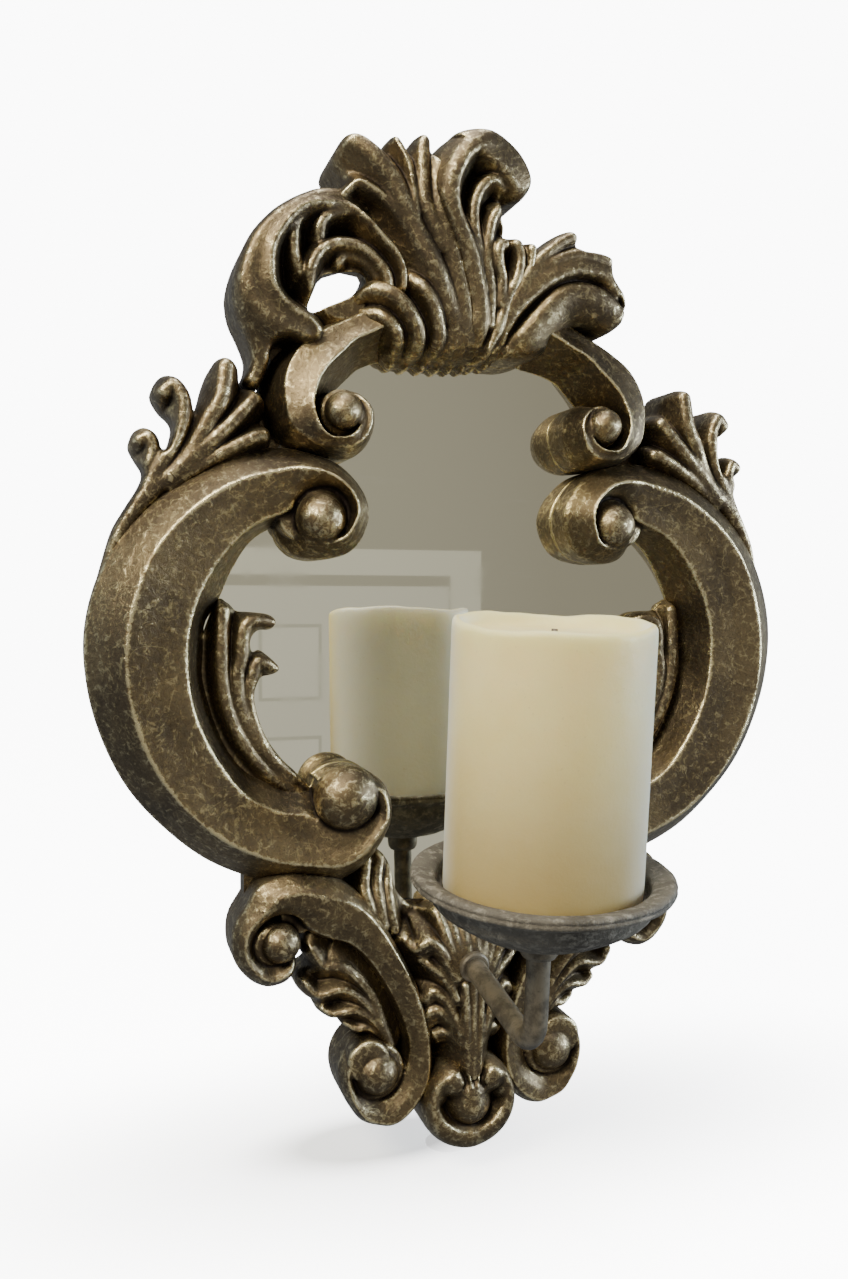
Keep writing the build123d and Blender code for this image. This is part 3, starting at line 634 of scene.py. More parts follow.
crest_leaf_left = relief(
    [(-52, 168), (-58, 167), (-69.5, 165), (-76.5, 162), (-83.5, 158), (-90, 153), (-97, 145),
     (-101.5, 136), (-104, 127.5), (-104.5, 121), (-103, 113), (-99, 104.5), (-96.5, 97.5), (-97, 92),
     (-99, 86), (-93, 84), (-89, 93), (-87.5, 101), (-82, 103.5), (-75, 102), (-69, 103), (-64, 110),
     (-50, 116), (-38, 121), (-30, 124), (-27, 135), (-31, 147), (-38, 157), (-46, 164)],
    [stroke([(-62, 161, 36), (-72, 160.5, 37.5), (-80, 156.5, 38), (-87, 151, 38), (-93.5, 143, 37.5),
             (-97, 134, 37), (-98, 126, 36.5), (-95.5, 118, 36), (-90, 112, 36), (-83, 108.5, 36),
             (-77, 106.5, 35.5)], swell(6)),
     stroke([(-60, 158.5, 37), (-69, 158, 39), (-76, 156, 39.5), (-82, 151, 40), (-87, 144.5, 40),
             (-90, 137.5, 39.5), (-90.5, 129.5, 39), (-89.5, 123.5, 38.5), (-85.5, 117.5, 38),
             (-80, 113.5, 37.5), (-74, 110.5, 37), (-70.5, 107, 36)], bar(2.3), slope(0.60)),
     stroke([(-96.5, 116, 29), (-93.5, 107, 28), (-91, 101, 27), (-91, 95, 26), (-94.5, 88, 24)], bar(4.4)),
     stroke([(-66, 157.5, 37), (-75, 155, 37), (-79.5, 150, 37), (-80.5, 144.5, 37), (-80, 137.5, 36),
             (-77.5, 131, 34)], bar(2.3), bar(2.3)),
     stroke([(-55, 157, 37), (-63, 155, 37), (-67.5, 152.5, 37), (-69.5, 149, 37), (-69.5, 144, 35)],
            bar(2.3), bar(2.3)),
     stroke([(-57, 159, 37), (-50.5, 154, 39), (-44, 148, 39), (-37, 141, 39), (-33.5, 134, 38),
             (-33, 128, 37)],
            slope(2.25), bar(2.3)),
     stroke([(-70.5, 121, 33), (-73, 127.5, 35), (-73, 132.5, 37), (-70, 138.5, 37), (-64, 142.3, 37),
             (-56.5, 143, 37), (-50, 141, 37), (-44.5, 136.5, 37), (-41, 131.5, 37), (-40, 124, 36)],
            bar(2.3), bar(2.3)),
     stroke([(-59.5, 132.5, 32), (-60.5, 137, 33), (-57, 139.5, 33), (-50, 137.5, 33),
             (-45, 132, 33)], bar(2.3))],
    floor=15, edge=3, edge_drop=6, undercut=(-57, 129, 15, 26),
    hole=[(-67, 131), (-60, 133), (-52.5, 134), (-48.5, 131.5), (-49, 127.5), (-55, 123.5), (-62, 120),
          (-69, 117), (-72.5, 118.5), (-70.5, 125)])

crest_plume = relief(
    [(-37, 99), (-41, 104), (-46.5, 110), (-52.5, 117), (-54, 124), (-48, 130), (-44, 140), (-50, 150),
     (-56, 156), (-62, 159.5), (-63.5, 164), (-58, 168.5), (-60, 173), (-63, 179), (-59.5, 186),
     (-52.5, 187), (-46.5, 183.5), (-43, 181.5), (-42, 186), (-38, 189), (-34.5, 186.5), (-32.5, 182),
     (-30.5, 188), (-26, 190.5), (-22.5, 187), (-20, 181), (-14, 176), (-6, 168), (0, 158), (6, 148),
     (10, 138), (13, 126), (15, 116), (14.5, 108), (13.5, 102), (10.5, 99.5), (7.5, 101), (4.5, 98.5),
     (2, 100), (-0.5, 97.5), (-3.5, 99.5), (-6.5, 97), (-9.5, 99), (-12.5, 96.5), (-16, 99), (-19.5, 96.5),
     (-23.5, 99), (-27, 96.5), (-30, 98.5), (-34, 97)],
    [stroke([(-55.5, 184, 41), (-48.5, 179, 42.5), (-40.5, 171, 42.5), (-35.5, 162.5, 42), (-30, 153.5, 41),
             (-25.5, 145.5, 41), (-20, 136, 41), (-14, 123.5, 39), (-9.5, 115, 37), (-10, 109, 35),
             (-12, 104, 31.5), (-12.5, 100.5, 26), (-12.5, 98, 17)], bar(4.5), bar(5.5, 1.2)),
     stroke([(-60, 163.5, 37), (-54.5, 168, 39.5), (-46, 165, 40), (-39.5, 160, 39.5), (-33, 152, 39),
             (-27, 142, 38)], slope(1.31), bar(2.8)),
     stroke([(-39, 185, 41), (-36.7, 181, 42), (-34, 175.5, 42.5), (-32, 167, 42), (-30, 158, 41)],
            bar(2.8), slope(2.00)),
     stroke([(-26.5, 187, 42), (-27.3, 181.5, 43), (-27, 174.5, 43), (-26, 163.5, 42.5), (-22, 154, 42),
             (-17, 145, 40.5)], bar(2.7), bar(3.1)),
     stroke([(-19, 178, 43), (-19.5, 168, 43), (-18, 157, 42.5), (-13, 144, 41.5), (-9, 132, 40),
             (-6, 120, 38.5), (-5, 111, 36), (-6, 105, 32.5), (-6.5, 101, 27),
             (-6.5, 98.5, 17)], bar(5.0, 1.3)),
     stroke([(-54, 122, 28), (-49, 125.5, 34.5), (-42, 125, 38.5), (-35, 121, 39.5), (-30, 115, 39),
             (-27, 110, 37), (-26.5, 105, 34), (-27, 101, 28), (-27, 98, 17)], bar(3.4)),
     stroke([(-34, 134, 33), (-28.5, 130, 38.5), (-23.5, 125, 40), (-20, 118.5, 39), (-17.5, 111, 37),
             (-17.5, 106, 34), (-18.5, 102, 29), (-19.5, 98.5, 17)], bar(3.0)),
     stroke([(-52, 116, 28), (-44, 116, 35), (-38, 111.5, 36.5), (-35, 107, 34), (-34, 102, 28),
             (-33.5, 98.5, 17)], bar(3.1)),
     stroke([(-1, 114, 37), (-1, 106, 33), (-0.5, 102, 27), (-0.5, 99, 17)], bar(3.1)),
     stroke([(9.5, 120, 37), (7.5, 111, 36), (5.5, 107, 33), (5, 103, 27), (4.5, 100, 17)], bar(3.1)),
     stroke([(16, 122, 37), (13.5, 112, 36), (11, 107, 32), (10.5, 103.5, 26), (10, 101, 17)], bar(3.1))],
    floor=20, edge=2.6, edge_drop=5)

crest_curl = relief(
    [(-25, 170), (-23.5, 180.5), (-18.5, 187.5), (-12, 192), (-4, 194), (3, 194), (10, 191.5), (16.5, 187),
     (21, 181), (22.5, 176), (21, 171.5), (17.5, 168), (12.5, 167), (9, 166), (8.5, 162), (11, 157.5),
     (14, 152), (21, 151.5), (25.5, 149), (25, 141), (22, 133), (18, 124), (14, 113), (9, 106), (6, 101),
     (2, 99.5), (-2, 101), (-6, 107), (-8, 120), (-12, 140), (-18, 155)],
    [stroke([(4, 187.5, 46), (-2, 187, 48), (-7, 184, 49), (-10.5, 180, 49), (-13.5, 174.5, 49),
             (-15, 168.5, 48), (-14, 160.5, 46.5), (-10, 152.5, 45), (-5.5, 144.5, 43.5), (-2.5, 135.5, 42),
             (0.5, 125, 40.5), (1.5, 113.5, 38.5), (1, 108, 35), (0.5, 104, 31), (0, 100.5, 18)], bar(2.5),
             bar(6.5, 1.6)),
     stroke([(15, 168.5, 42), (13.5, 172.5, 44.5), (9, 177, 46), (3.5, 181, 47), (-2, 184, 48)], bar(2.3),
            swell(26)),
     stroke([(9, 172, 42), (5, 174, 44), (0.5, 172.5, 44), (-3, 167.5, 43.5), (-4.5, 160, 43), (-3, 150, 42),
             (0.5, 140, 40.5), (2.5, 130, 39)], bar(2.3), bar(2.7)),
     stroke([(13.5, 158.5, 43), (10.5, 162, 44), (6.5, 162, 43.5), (3.5, 157, 43), (2.5, 149, 42),
             (3, 140, 41), (5, 128, 39.5), (5, 115, 38)], bar(2.3), bar(2.3)),
     stroke([(9.5, 148, 43), (7, 146.5, 43.5), (7.5, 140, 42.5), (9.5, 134, 41), (9.5, 124, 39.5)], bar(2.3)),
     stroke([(15, 149, 43.5), (17, 143, 43), (16, 135, 42), (13, 127, 40), (9.5, 116, 38.5), (6.5, 105, 36)],
            bar(2.3)),
     stroke([(22.5, 147.5, 43), (22.8, 140, 42), (19.5, 131.5, 40), (15, 122, 38.5),
             (11, 110, 36)], bar(2.3))],
    floor=24, edge=3, edge_drop=6)

crest_leaf_right = relief(
    [(9, 104), (15, 102.5), (24, 102.5), (34, 106), (36, 113), (46, 118), (54, 118), (62, 115.5),
     (70.5, 123), (69, 132), (63, 140), (63, 147), (57, 150), (47, 150.5), (45.5, 156), (40, 158),
     (33, 154.5), (27, 150), (22, 148), (18, 143), (13, 136), (9, 126), (6, 112)],
    [stroke([(41, 154.5, 43), (34, 150.5, 43), (26, 143, 42), (19, 134, 41), (13, 122, 38)], bar(3.1)),
     stroke([(59, 146.5, 42.5), (50, 147.5, 43), (42, 147, 43), (33, 143.5, 42.5), (24.5, 137.5, 41),
             (17, 127, 39), (12, 115, 36)], bar(2.6), bar(2.3)),
     stroke([(64, 132.5, 42), (57, 139, 43), (48, 140.5, 43.5), (41, 139.5, 43.5), (33, 136, 43),
             (25.5, 130.5, 42), (17.5, 122.5, 40), (13, 114.5, 37), (10.5, 107, 32)], bar(2.3), swell(13)),
     stroke([(65, 124, 41), (60, 128, 42.5), (52, 131, 43), (44, 131.5, 42.5), (36, 128.5, 42),
             (28, 120, 40.5), (21, 111, 38), (16.5, 106, 33)], swell(10), bar(4.4))],
    floor=20, edge=3.2, edge_drop=7)

palmette = relief(
    mirrored([(0, -147), (-6, -143.5), (-13, -140.5), (-19, -143.5), (-25.5, -140.5), (-30, -134.5),
              (-32.5, -128), (-35.5, -119), (-42, -115), (-52, -118), (-53, -133), (-45, -148), (-37, -162),
              (-30, -174), (-25, -186), (-21, -198), (-18, -208), (-14, -218), (0, -224)]),
    both([
        *lobe([(-28.5, -155, 27), (-25, -158, 30), (-22, -156.5, 32), (-19, -155, 33), (-15, -158, 33.5),
               (-11.5, -164, 34.5), (-8, -171.5, 35)], 3),
        *lobe([(-22, -163.5, 29), (-18.5, -166, 31.5), (-14, -169.5, 33), (-10, -174.5, 34),
               (-7.5, -180.5, 35.5)], 4),
        *lobe([(-22.5, -182, 28), (-20, -181, 30), (-16.5, -178, 32), (-11.5, -181.5, 33.5),
               (-8.5, -187.5, 35), (-5.5, -195.5, 36)], 3),
        *lobe([(-20, -191.5, 28), (-18.5, -188.5, 30), (-15.5, -186.8, 31.5), (-11.5, -188.5, 32.5),
               (-7, -194, 34), (-4, -201.5, 36)], 3),
        *lobe([(-14.5, -199, 28), (-11, -197.5, 30.5), (-7.5, -198.5, 32), (-4.5, -203.5, 34),
               (-3, -212, 36)], 2),
        stroke([(-14.5, -142, 26), (-12.5, -149, 30), (-10.5, -156, 32.5), (-8, -163.5, 34),
                (-6.5, -171, 35)],
               bar(2.3)),
        stroke([(-9, -144.5, 26), (-8, -149.5, 29.5), (-6.5, -156.5, 32.5), (-5, -162, 34)], bar(2.3)),
        stroke([(-3.5, -146.5, 27), (-3, -153, 31), (-2.3, -161, 34)], bar(2.3)),
        stroke([(-44.5, -120, 20), (-47, -129.5, 25), (-45.5, -137, 27), (-42.5, -145, 27)], bar(2.6)),
        stroke([(-38.5, -118, 20), (-41, -128, 24), (-40.5, -137.5, 27), (-38.5, -148, 27)], bar(2.4)),
        stroke([(-34, -122, 19), (-36, -131, 24), (-35.5, -140.5, 27), (-33.5, -150, 26)], bar(2.3)),
        stroke([(-3.6, -175, 36), (-3.4, -187.5, 37), (-2.8, -200, 37), (-2.2, -214, 37)], bar(1.7, 3)),
        stroke([(-0.1, -172, 36), (-0.1, -216, 37)], bar(1.6, 3)),
        stroke([(-1, -166.5, 35.2), (-2, -167, 35.2)], swell(16))]),
    floor=14, edge=1.8, edge_drop=3, blend=1.5)

bottom_shell = relief(
    [p[:2] for p in ring(0, -229.5, 22.3, 0, 0, 345, 23)],
    both([stroke(ring(0, -224.5, 18, 36, 186, 270, 10), bar(2.3), swell(9)),
          stroke([(-18, -223, 36), (-17, -217, 37), (-13.5, -213.5, 38), (-9, -214, 38), (-6.8, -218, 38)],
                 bar(2.3), swell(6)),
          stroke([(-10, -218.5, 38), (-10.5, -216.5, 38.5)], swell(3.6)),
          stroke([(-2, -206, 37), (-2.3, -214, 37.5), (-1.5, -220, 38)], slope(2.2))])
    + [stroke([(0, -224, 39), (0, -229, 40), (0, -230, 40)], swell(5.6))],
    floor=20, edge=3.6, edge_drop=9, blend=1.5)


# ---- materials -----------------------------------------------------------------------------------
RIGHT, TO_WALL, UP = 0, 1, 2      # world axes


def feed(tree, made, inputs):
    """Sets a node's inputs. An input is a number, a colour or another node's output."""
    for key, value in inputs.items():
        if isinstance(value, bpy.types.NodeSocket):
            tree.links.new(value, made.inputs[key])
        else:
            made.inputs[key].default_value = value


def node(tree, kind, inputs=None, **settings):
    """Adds a shader node."""
    made = tree.nodes.new(kind)
    for key, value in settings.items():
        setattr(made, key, value)
    feed(tree, made, inputs or {})
    return made


def noise(tree, place, scale, detail=4, roughness=0.55, distortion=0.0):
    """A noise from 0 to 1."""
    made = node(tree, "ShaderNodeTexNoise", {"Vector": place, "Scale": scale, "Detail": detail,
                                             "Roughness": roughness, "Distortion": distortion})
    return made.outputs["Fac"]


def spread(tree, value, low, high, to_low=0.0, to_high=1.0):
    """A value's range moved smoothly to another range."""
    made = node(tree, "ShaderNodeMapRange", {"Value": value, "From Min": low, "From Max": high,
                                             "To Min": to_low, "To Max": to_high},
                interpolation_type="SMOOTHSTEP")
    return made.outputs["Result"]


def mix(tree, factor, a, b):
    """Two colours mixed."""
    a, b = (c if isinstance(c, bpy.types.NodeSocket) else (*c, 1) for c in (a, b))
    return node(tree, "ShaderNodeMix", {0: factor, 6: a, 7: b}, data_type="RGBA").outputs[2]


def math_node(tree, operation, a, b):
    """Two numbers put together."""
    return node(tree, "ShaderNodeMath", {0: a, 1: b}, operation=operation).outputs[0]


def stretched(tree, place, scale, turn=(0, 0, 0)):
    """Coordinates scaled unevenly, for scratches and grain."""
    return node(tree, "ShaderNodeMapping", {"Vector": place, "Scale": scale, "Rotation": turn}).outputs[0]


def start_material(name):
    """A new material, its tree and its object coordinates."""
    made = bpy.data.materials.new(name)
    made.use_nodes = True
    return made, made.node_tree, node(made.node_tree, "ShaderNodeTexCoord").outputs["Object"]


def finish(made, colour, roughness, metallic=0.0, bump=None, **more):
    """Gives a material its colour, roughness and metal, a bump from (height, strength, distance) and
    more, where an input's name has _ for a space."""
    tree = made.node_tree
    inputs = {"Base Color": colour, "Roughness": roughness, "Metallic": metallic}
    inputs.update({key.replace("_", " "): value for key, value in more.items()})
    if bump:
        height, strength, distance = bump
        ripples = node(tree, "ShaderNodeBump", {"Height": height, "Strength": strength, "Distance": distance})
        inputs["Normal"] = ripples.outputs[0]
    feed(tree, tree.nodes["Principled BSDF"], inputs)
    return made


def facing(tree, axis):
    """How far the surface faces along a world axis."""
    normal = node(tree, "ShaderNodeNewGeometry").outputs["Normal"]
    return node(tree, "ShaderNodeSeparateXYZ", {0: normal}).outputs[axis]


def bronze(name, wear_and_shade=True):
    """Antique bronze paint: dark in the hollows, from patina and from painted shade, brown and rubbed gold on
    the faces, and bright on the ridges, from rubbed wear and a painted highlight. Its second argument turns
    on the marks for wear, patina, painted shade and painted highlights that are stored on the pieces' meshes."""
    made, tree, place = start_material(name)
    mottle = noise(tree, place, 330, 8, 0.72, 0.6)
    blotch = noise(tree, place, 30, 4, 0.55, 0.4)
    grit = noise(tree, place, 900, 4, 0.65)
    colour = mix(tree, spread(tree, blotch, 0.34, 0.66), (0.102, 0.080, 0.054), (0.182, 0.139, 0.082))
    colour = mix(tree, spread(tree, mottle, 0.44, 0.78, 0, 0.55), colour, (0.40, 0.31, 0.165))
    colour = mix(tree, spread(tree, mottle, 0.26, 0.46, 0.45, 0), colour, (0.055, 0.041, 0.032))
    for scale, seed in ((30, 0.0), (47, 7.0)):
        swirl = noise(tree, stretched(tree, place, (1, 1, 1), (seed, 0, seed)), scale, 2, 0.5, 2.2)
        off_line = math_node(tree, "ABSOLUTE", math_node(tree, "SUBTRACT", swirl, 0.5), 0)
        line = spread(tree, off_line, 0.003, 0.012, 0.45, 0)
        scratch = math_node(tree, "MULTIPLY", line, spread(tree, mottle, 0.42, 0.56))
        colour = mix(tree, scratch, colour, (0.50, 0.42, 0.23))
    colour = mix(tree, spread(tree, grit, 0.32, 0.5, 0.4, 0), colour, (0.035, 0.026, 0.02))
    rough = spread(tree, mottle, 0.35, 0.7, 0.44, 0.30)
    if wear_and_shade:
        edge = node(tree, "ShaderNodeAttribute", attribute_name="edge_wear_and_shading").outputs["Fac"]
        broad = node(tree, "ShaderNodeAttribute", attribute_name="broad_wear_and_shade").outputs["Fac"]
        rub_and_highlight = math_node(tree, "ADD", edge, spread(tree, mottle, 0.3, 0.7, -0.12, 0.12))
        colour = mix(tree, spread(tree, broad, 0.52, 0.85, 0, 0.3), colour, (0.42, 0.30, 0.15))
        # Patina and painted shade: broad hollows and fine creases turn near black, for the dark patina there
        # and for the shade that falls in them.
        colour = mix(tree, spread(tree, broad, 0.24, 0.52, 0.95, 0), colour, (0.022, 0.016, 0.013))
        colour = mix(tree, spread(tree, edge, 0.22, 0.48, 0.88, 0), colour, (0.016, 0.012, 0.011))
        # Rubbed gold and a painted highlight: the ridges turn pale gold, both worn paint and a painted
        # highlight along them.
        colour = mix(tree, spread(tree, rub_and_highlight, 0.54, 0.72, 0, 0.95), colour, (0.72, 0.63, 0.39))
        rough = math_node(tree, "ADD", rough, spread(tree, broad, 0.2, 0.5, 0.2, 0))
        rough = math_node(tree, "SUBTRACT", rough, spread(tree, rub_and_highlight, 0.55, 0.75, 0, 0.08))
    dusty = spread(tree, facing(tree, UP), 0.6, 0.98, 0, 0.3)
    dust = math_node(tree, "MULTIPLY", dusty, spread(tree, blotch, 0.35, 0.6))
    colour = mix(tree, dust, colour, (0.25, 0.21, 0.14))
    height = math_node(tree, "ADD", math_node(tree, "MULTIPLY", grit, 0.3), mottle)
    return finish(made, colour, math_node(tree, "ADD", rough, dust), 1.0, (height, 0.45, 0.0008))


def arm_paint():
    """The arm's dull grey bronze, darker in patches."""
    made, tree, place = start_material("arm_bronze")
    mottle = noise(tree, place, 110, 7, 0.65)
    grit = noise(tree, place, 900, 3, 0.6)
    colour = mix(tree, spread(tree, mottle, 0.38, 0.62), (0.095, 0.081, 0.06), (0.225, 0.193, 0.142))
    colour = mix(tree, spread(tree, grit, 0.55, 0.75, 0, 0.35), colour, (0.05, 0.042, 0.036))
    bump = (math_node(tree, "ADD", mottle, grit), 0.3, 0.0005)
    return finish(made, colour, spread(tree, mottle, 0.3, 0.7, 0.55, 0.4), 0.5, bump)


def dish_paint():
    """A dusty grey paint with a sandy, crusted surface."""
    made, tree, place = start_material("dish_paint")
    patch = noise(tree, place, 45, 6, 0.6)
    sand = noise(tree, place, 1100, 4, 0.7)
    crust = noise(tree, place, 260, 5, 0.65)
    colour = mix(tree, spread(tree, patch, 0.36, 0.64), (0.084, 0.074, 0.058), (0.165, 0.148, 0.12))
    colour = mix(tree, spread(tree, crust, 0.48, 0.68, 0, 0.8), colour, (0.33, 0.30, 0.245))
    colour = mix(tree, spread(tree, sand, 0.3, 0.5, 0.5, 0), colour, (0.09, 0.08, 0.07))
    bump = (math_node(tree, "ADD", sand, crust), 0.9, 0.0009)
    return finish(made, colour, spread(tree, crust, 0.3, 0.7, 0.8, 0.6), 0.25, bump)


def wax():
    """Ivory wax, a little cloudy, with light inside it. It is darker and yellower towards the foot, partly
    from thicker wax and partly as painted shade from the dish, and it is paler towards the right and on the
    side that faces the wall, as painted light falling on those sides."""
    made, tree, place = start_material("wax")
    cloud = noise(tree, place, 22, 3, 0.5)
    speck = noise(tree, place, 700, 3, 0.6)
    pits = noise(tree, place, 160, 6, 0.6)
    height = node(tree, "ShaderNodeSeparateXYZ", {0: place}).outputs[2]
    colour = mix(tree, spread(tree, cloud, 0.35, 0.65), (0.86, 0.715, 0.32), (0.9, 0.78, 0.40))
    # Darker and yellower towards the foot: partly the wax's own tone and partly painted shade from the dish.
    colour = mix(tree, spread(tree, height, -0.112, -0.03, 1.0, 0), colour, (0.47, 0.36, 0.155))
    # Painted light: paler on the side facing right, where the light from the right falls.
    colour = mix(tree, spread(tree, facing(tree, RIGHT), 0.3, 0.9, 0, 0.6), colour, (0.97, 0.94, 0.82))
    # Painted light: paler on the side facing the wall, where light from the wall behind falls.
    colour = mix(tree, spread(tree, facing(tree, TO_WALL), -0.2, 0.4, 0, 0.92), colour, (0.86, 0.86, 0.80))
    colour = mix(tree, spread(tree, speck, 0.62, 0.75, 0, 0.25), colour, (0.5, 0.38, 0.2))
    bump = (math_node(tree, "ADD", pits, cloud), 0.25, 0.001)
    return finish(made, colour, spread(tree, pits, 0.3, 0.7, 0.40, 0.55), bump=bump, Subsurface_Weight=0.6,
                  Subsurface_Radius=(1.0, 0.85, 0.6), Subsurface_Scale=0.012)


def mirror_silver():
    """Silvered glass with a slight haze."""
    made, tree, place = start_material("mirror_glass")
    haze = noise(tree, place, 30, 5, 0.6)
    wisps = noise(tree, stretched(tree, place, (25, 25, 160), (0, 0.9, 0)), 1, 5, 0.6)
    colour = mix(tree, spread(tree, wisps, 0.62, 0.8, 0, 0.12), (0.73, 0.71, 0.585), (0.86, 0.85, 0.75))
    return finish(made, colour, spread(tree, haze, 0.45, 0.75, 0.015, 0.06), 1.0)


def steel():
    """Zinc-plated steel, brushed and a little dull."""
    made, tree, place = start_material("zinc_steel")
    grain = noise(tree, stretched(tree, place, (900, 900, 60)), 1, 4, 0.6)
    bloom = noise(tree, place, 120, 5, 0.6)
    colour = mix(tree, spread(tree, bloom, 0.4, 0.65), (0.42, 0.42, 0.40), (0.62, 0.61, 0.58))
    return finish(made, colour, spread(tree, grain, 0.3, 0.7, 0.28, 0.48), 1.0, (grain, 0.15, 0.0002))


def hardboard():
    """Pressed fibre board."""
    made, tree, place = start_material("hardboard")
    fibre = noise(tree, place, 380, 7, 0.7, 1.5)
    patch = noise(tree, place, 30, 4, 0.5)
    colour = mix(tree, spread(tree, patch, 0.35, 0.65), (0.17, 0.10, 0.055), (0.24, 0.15, 0.085))
    colour = mix(tree, spread(tree, fibre, 0.5, 0.7, 0, 0.6), colour, (0.36, 0.25, 0.15))
    return finish(made, colour, 0.82, bump=(fibre, 0.4, 0.0004))


def wick_cotton():
    """Waxed cotton, charred at the tip."""
    made, tree, place = start_material("wick_cotton")
    twist = noise(tree, stretched(tree, place, (1500, 1500, 500), (0, 0.7, 0)), 1, 3, 0.6)
    colour = mix(tree, spread(tree, twist, 0.4, 0.6), (0.05, 0.04, 0.035), (0.2, 0.17, 0.13))
    return finish(made, colour, 0.85, bump=(twist, 0.6, 0.0004))


# ---- candle, dish and arm ------------------------------------------------------------------------
ARM_TILT, ARM_YAW = math.radians(4.5), math.radians(1.5)
SOCKET = Vector((0.0, -0.0364, -0.1665))
FORWARD = Vector((math.sin(ARM_YAW) * math.cos(ARM_TILT), -math.cos(ARM_YAW) * math.cos(ARM_TILT),
                  -math.sin(ARM_TILT)))
SIDE = Vector((math.cos(ARM_YAW), math.sin(ARM_YAW), 0))
UPWARD = FORWARD.cross(SIDE)
DISH = SOCKET + FORWARD * 0.061 + UPWARD * 0.0654      # centre of the dish's rim


def turned(profile, wobble, sides=180):
    """Vertices and faces of a profile of (radius, height) in millimetres turned round the dish's axis.
    wobble(angle, radius, height) gives changes to the radius and the height."""
    verts = []
    for radius, height in profile:
        for a in turns(sides):
            wider, higher = wobble(a, radius, height)
            r, h = (radius + wider) * MM, (height + higher) * MM
            verts.append(DISH + SIDE * (r * math.cos(a)) + FORWARD * (r * math.sin(a)) + UPWARD * h)
    return verts, skin(len(profile), sides)


def waves(a, terms):
    """A sum of sines round the axis, from (waves in a turn, size, phase)."""
    return sum(size * math.sin(count * a + phase) for count, size, phase in terms)


CANDLE_RADIUS = 38
RIM_WAVES = ((2, 0.5, 0.6), (3, 0.45, 2.1), (5, 0.3, 4.0), (9, 0.18, 1.0), (17, 0.08, 2.0))
SIDE_WAVES = ((2, 0.22, 1.9), (3, 0.15, 0.3), (7, 0.06, 1.2))


def candle_wobble(a, radius, height):
    """The candle's side is a little uneven and its rim has melted unevenly."""
    melt_start, melt_height, melt_loss, twist = 88, 8, 0.9, 0.004
    side = waves(a + twist * height, SIDE_WAVES) * min(radius / CANDLE_RADIUS, 1)
    near_top = min(max((height - melt_start) / melt_height, 0), 1)
    return side, near_top * (waves(a, RIM_WAVES) - melt_loss)


def candle_profile():
    """The candle from its foot up over the rim and down into the melted pool."""
    line = [(0.5, -10.5), (20, -10.5), (34.5, -10.5), (36.6, -9.6), (37.6, -8), (38, -6)]
    line += [(CANDLE_RADIUS + 0.05, z) for z in np.linspace(-2, 92, 32)]
    line += [(38, 93.5), (37.8, 94.9), (37.2, 95.9), (36.3, 96.2), (35.3, 95.8), (34.6, 94.8), (34, 93.4)]
    line += [(33, 92), (31, 91), (28, 90.5), (20, 90.2), (10, 90.1), (5, 90), (0.5, 89.9)]
    return line


def dish_wobble(a, radius, height):
    """Old paint and wax leave the dish's lip slightly uneven."""
    return (waves(a, ((6, 0.05, 0.4), (11, 0.05, 2.2), (23, 0.04, 0.7))),
            waves(a, ((5, 0.06, 1.1), (13, 0.05, 3.0))))


DISH_PROFILE = (
    (0.5, -27.2), (6, -27.2), (10, -27.15), (15, -26.2), (20, -24.9), (25, -22.9), (30, -20.5), (34, -18.2),
    (37.5, -15.9), (40.3, -13.9), (42, -12), (43.2, -9.8), (44.2, -7.6), (45.4, -6.2), (47.2, -5.3),
    (49, -4.7), (50, -4.1), (50.45, -3.3), (50.3, -2.6), (49.9, -2.3), (50.1, -1.9), (50.4, -1.3),
    (50.2, -0.7), (49.6, -0.2), (48.6, 0), (47.2, -0.15), (45.6, -0.55), (44, -0.9), (42.6, -1.4),
    (41.6, -2), (41, -3), (40.8, -5), (40.6, -8), (39.6, -9.8), (37, -11.9), (33, -14.6), (27, -17.8),
    (19, -21), (13, -22.8), (10, -23.4), (0.5, -23.5))


def tube(path, radius, swelling, sides=32):
    """Vertices and faces of a tube along a path in metres. Its radius varies a little by the swelling."""
    verts = []
    side = SIDE
    for i, p in enumerate(path):
        along = (path[min(i + 1, len(path) - 1)] - path[max(i - 1, 0)]).normalized()
        side = (side - along * side.dot(along)).normalized()
        other = along.cross(side)
        r = radius + swelling(i)
        verts += [p + (side * math.cos(a) + other * math.sin(a)) * r for a in turns(sides)]
    return verts, skin(len(path), sides)


def arm_route():
    """Points along the arm: out of the socket, down a little, and up round a tight bend. They are worked
    out in millimetres, forward and upward from the socket."""
    start, corner, end = (np.array(p, float) for p in ((-2, 0), (61, -7.5), (61, 34.9)))
    radius = 11
    into = (corner - start) / np.hypot(*(corner - start))
    out = np.array((0, 1.0))
    turn = math.acos(float(-into @ out))
    cut = radius / math.tan(turn / 2)
    first, second = corner - cut * into, corner + cut * out
    centre = first + radius * np.array((-into[1], into[0]))
    points = [start, *[start + (first - start) * t for t in np.linspace(0.1, 0.9, 8)]]
    from_angle, to_angle = (math.atan2(*(p - centre)[::-1]) for p in (first, second))
    points += [centre + radius * np.array((math.cos(a), math.sin(a)))
               for a in np.linspace(from_angle, to_angle, 14)]
    points += [second + (end - second) * t for t in np.linspace(0.12, 1, 8)]
    return [SOCKET + FORWARD * (x * MM) + UPWARD * (y * MM) for x, y in points]


# ---- building it ---------------------------------------------------------------------------------
make_camera()
paint = {"bronze": bronze("antique_bronze"), "back": bronze("antique_bronze_back", wear_and_shade=False),
         "arm": arm_paint(), "dish": dish_paint(), "wax": wax(), "mirror": mirror_silver(), "steel": steel(),
         "board": hardboard(), "wick": wick_cotton()}

